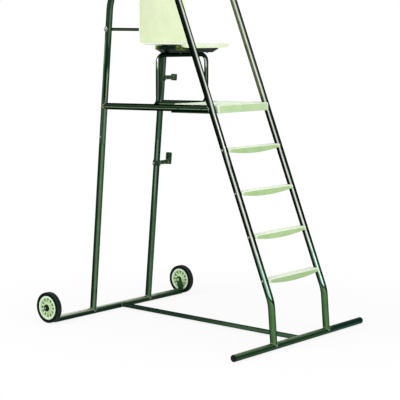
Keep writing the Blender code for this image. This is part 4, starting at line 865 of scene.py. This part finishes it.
def pocketCutter(centre, axis):  # tapered pockets between the ribs, on both faces
    inner = wheel["hub"] + wheel["pocketInner"]
    outer = rimOuter - wheel["rimLip"] - wheel["pocketMargin"]
    middle, steps, third = (inner + outer) / 2, wheel["pocketSteps"], axis.cross(xAxis)
    levels = wheel["web"] + wheel["pocketOver"], wheel["web"] - wheel["pocketDeep"]
    outline = []
    for size, order in ((inner, 1), (outer, -1)):
        reach = math.pi / wheel["pockets"] - wheel["pocketRib"] / 2 / size
        outline += [(size, order * reach * (1 - 2 * k / steps)) for k in range(steps + 1)]
    bm = bmesh.new()
    for face in (-1, 1):
        for index in range(wheel["pockets"]):
            loops = []
            for level, draft in zip(levels, wheel["pocketDraft"]):
                loop = []
                for size, angle in outline:
                    size = middle + (size - middle) * draft
                    angle = angle * draft + math.tau * index / wheel["pockets"]
                    spoke = xAxis * math.cos(angle) + third * math.sin(angle)
                    loop.append(bm.verts.new(centre + axis * face * level + spoke * size))
                loops.append(loop)
            solidLoops(bm, loops)
    return bm


for side, sign in sides.items():
    axis, body = yAxis * sign, "wheel_" + side
    centre = Vector((wheel["x"], sign * wheel["middle"], wheel["height"]))
    turnedPiece("tyreRubber_" + side, tyreProfile(), centre, axis, wheel["count"], True, wheel["sharp"],
                "rubber", "tyre_rubber", ["tyre_" + side], body)
    rim = turnedPiece("rimMoulding_" + side, filletProfile(rimProfile(), *wheel["rimFillet"], True), centre, axis,
                      wheel["count"], True, wheel["sharp"], "rim", "rim_plastic", ["wheel_rim_" + side], body)
    carve(rim, pocketCutter(centre, axis))
print("wheels turned")


# plugs, caps and fasteners

plug = {"seat": 0.6493, "outline": ((0, 0.004), (0.010, 0.0038), (0.0160, 0.0031), (0.0195, 0.0018),
                                    (0.02125, 0.0004), (0.02065, -0.0001), (0.0185, -0.0001), (0.0185, -0.010),
                                    (0, -0.010))}
cap = {"seat": 0.6669, "fillet": (0.0011, 4), "outline": ((0.0064, 0), (0.0230, 0), (0.0230, 0.0046),
                                                          (0.0190, 0.0105), (0.0130, 0.0142), (0.0064, 0.0146))}
roundSides, roundSharp = 48, 40
for side, sign in sides.items():
    axis = yAxis * sign
    turnedPiece("barPlug_" + side, plug["outline"], Vector((chair["frontX"], sign * plug["seat"], barRadius)), axis,
                roundSides, False, roundSharp, "blackPlastic", "black_plastic", ["bar_plug_" + side])
    turnedPiece("hubCap_" + side, filletProfile(cap["outline"], *cap["fillet"], True),
                Vector((wheel["x"], sign * cap["seat"], wheel["height"])), axis, roundSides, True, roundSharp,
                "blackPlastic", "black_plastic", ["hub_washer_" + side, "axle_nut_" + side])


def domeNut(name, node, origin, axis):
    corner, height, dome = tieRod["nutAcross"] / math.cos(math.pi / 6), tieRod["nutHeight"], tieRod["dome"]
    bevel, base, rise = tieRod["nutBevel"], height - tieRod["domeSink"], dome * tieRod["domeRise"]
    bm = bmesh.new()
    turned(bm, [(0, 0), (corner - bevel, 0), (corner, bevel), (corner, height - bevel), (corner - 2 * bevel, height),
                (0, height)], origin, axis, 6)
    turns = [math.radians(a) for a in range(0, 90, 10)]
    arc = [(dome * math.cos(turn), base + rise * math.sin(turn)) for turn in turns]
    turned(bm, [(0, base - tieRod["domeFoot"])] + arc + [(0, base + rise)], origin, axis, tieRod["domeSides"])
    addPiece(name, toMesh(bm, name, tieRod["nutSharp"]), "fastener", "bright_steel", [node])


screw = {"radius": 0.0065, "height": 0.0045, "rim": 0.0012, "socket": 0.0021, "socketDeep": 0.0022, "shank": 0.003,
         "stub": 0.008, "sides": 24, "sharp": 34, "treadDrop": 0.010, "boardInset": 0.070, "seatAhead": 0.059,
         "seatAside": 0.130, "legRise": 0.047}


def screwHead(name, node, under, inward, surface="fastener"):
    tall, wide, rim, floor = screw["height"], screw["radius"], screw["rim"], screw["socketDeep"] - screw["height"]
    turns = [math.radians(a) for a in range(0, 71, 10)]
    profile = [(0, screw["stub"]), (screw["shank"], screw["stub"]), (screw["shank"], 0), (wide, 0)]
    profile += [(wide * math.cos(turn), -rim - (tall - rim) * math.sin(turn)) for turn in turns]
    profile += [(screw["socket"], -tall), (screw["socket"], floor), (0, floor)]
    turnedPiece(name, profile, under, inward, screw["sides"], False, screw["sharp"], surface, "bright_steel", [node])


outside = chair["halfSpacing"] + radius + chair["clearance"]
for side, sign in sides.items():
    axis = yAxis * sign
    domeNut("domeNut_" + side, "tie_rod_nut_" + side, rodCentre + axis * tieRod["nutSeat"], axis)
    for index in range(treadWork["count"]):
        height = treadWork["first"] + index * treadWork["pitch"] - screw["treadDrop"]
        end = "%d_%s" % (index + 1, side)
        screwHead("treadScrew_" + end, "tread_bolt_" + end, Vector((stileX(height), sign * outside, height)), -axis)
    for label, x, ahead in (
            ("rear_", boardFront - boardWork["depth"] + screw["boardInset"], -screw["seatAhead"]),
            ("front_", stileX(chair["railHeight"]) - screw["boardInset"], screw["seatAhead"])):
        end = label + side
        screwHead("boardScrew_" + end, "footboard_bolt_" + end, railPoint(x) + axis * outside, -axis, "darkFastener")
        place = Vector((tray["x"] + ahead, sign * screw["seatAside"],
                        tray["floor"] - tray["sheet"] - chair["clearance"]))
        screwHead("seatScrew_" + end, "seat_screw_" + end, place, zAxis, "darkFastener")
    screwHead("legScrew_" + side, "spigot_screw_" + side, joint + axis * outside + legUp * screw["legRise"], -axis)
for label in ("cup", "ring"):
    height = holder[label]["height"]
    place = Vector((legX(height), chair["halfSpacing"] - holder["collarOuter"] - chair["clearance"], height))
    screwHead("clampScrew_" + label, "set_screw_" + label, place, yAxis)
print("fasteners set")


# the CAD solids that stay: steel plates, axles, bushes and the sleeves inside the leg joints

kept = {"wheel_plate_": ("platePaint", 0.0008), "axle_bolt_": ("axle", 0.0005), "hub_bush_": ("blackPlastic", 0),
        "leg_spigot_": ("sleevePaint", 0)}
for prefix, (surface, edge) in kept.items():
    for side in sides:
        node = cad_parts[prefix + side]
        node.data.materials.clear()
        node.data.materials.append(finish[surface])
        weld = node.modifiers.new("weld", "WELD")
        weld.merge_threshold = 0.00002
        if edge:
            bevelEdges(node, edge)
print("kept solids dressed")


# studio: pale floor, white surround, soft lamps, camera at the photo's viewing angle

studio = {"worldLight": 0.58, "floorNear": 0.84, "floorFar": 1.0, "fadeFrom": 0.9, "fadeTo": 2.3, "floorReach": 30.0,
          "floorDrop": -0.0005}
lamps = (  # name, place, aim, size, watts
    ("keyPanel", (-1.6, -5.0, 4.6), (0.0, 0.0, 1.1), 2.6, 150),
    ("topPanel", (0.2, 0.3, 6.2), (0.0, 0.0, 0.6), 3.0, 54),
    ("fillPanel", (5.6, -2.0, 2.6), (0.0, 0.0, 1.1), 2.4, 105),
)
view = {"place": (5.2108, -6.0622, 1.8212), "azimuth": 40.6709, "pitch": 7.2703, "lens": 112.896, "sensor": 36.0,
        "clipEnd": 200.0}
scene = bpy.context.scene
white = {"Color": linear("#ffffff"), "Strength": 1.0}


def seenDirectly(tree):  # by the camera, in a mirror or through glass
    path = addNode(tree, "LightPath").outputs
    seen = maths("MAXIMUM", path["Is Camera Ray"], path["Is Glossy Ray"])
    return maths("MAXIMUM", seen, path["Is Transmission Ray"])


scene.world = bpy.data.worlds.new("studioWhite")
scene.world.use_nodes = True
tree = scene.world.node_tree
tree.nodes.clear()
room = addNode(tree, "Background", {**white, "Strength": studio["worldLight"]})
both = addNode(tree, "MixShader", None, {0: seenDirectly(tree), 1: room, 2: addNode(tree, "Background", white)})
addNode(tree, "OutputWorld", None, {"Surface": both})

floorMesh = bpy.data.meshes.new("floor")
reach = studio["floorReach"]
floorMesh.from_pydata([(x * reach, y * reach, studio["floorDrop"]) for x, y in ((-1, -1), (1, -1), (1, 1), (-1, 1))],
                      [], [(0, 1, 2, 3)])
floor = addObject("studioFloor", floorMesh)
material, shader, spot, normal = newMaterial(
    "paleFloor", {"Base Color": linear("#f6f6f4"), "Roughness": 0.9, "Specular IOR Level": 0.0})
tree = material.node_tree
away = addNode(tree, "VectorMath", {"operation": "LENGTH"}, {0: spot}).outputs["Value"]
fade = ranged(away, studio["floorNear"], studio["floorFar"], studio["fadeFrom"], studio["fadeTo"], "SMOOTHSTEP")
share = maths("MULTIPLY", seenDirectly(tree), fade)
both = addNode(tree, "MixShader", None, {0: share, 1: shader, 2: addNode(tree, "Emission", white)})
tree.links.new(both.outputs[0], tree.nodes["Material Output"].inputs["Surface"])
floorMesh.materials.append(material)

for name, place, aim, size, watts in lamps:
    light = bpy.data.lights.new(name, "AREA")
    light.shape, light.size, light.energy = "SQUARE", size, watts
    lamp = addObject(name, light)
    lamp.location = place
    lamp.rotation_euler = (Vector(aim) - Vector(place)).to_track_quat("-Z", "Y").to_euler()

lens = bpy.data.cameras.new("photoCamera")
lens.lens, lens.sensor_width, lens.sensor_fit = view["lens"], view["sensor"], "HORIZONTAL"
lens.clip_end = view["clipEnd"]
scene.camera = addObject("photoCamera", lens)
scene.camera.location = view["place"]
scene.camera.rotation_euler = (math.radians(90 - view["pitch"]), 0, math.radians(view["azimuth"]))
scene.view_settings.view_transform = "Standard"
print("studio lit")

bpy.context.view_layer.update()
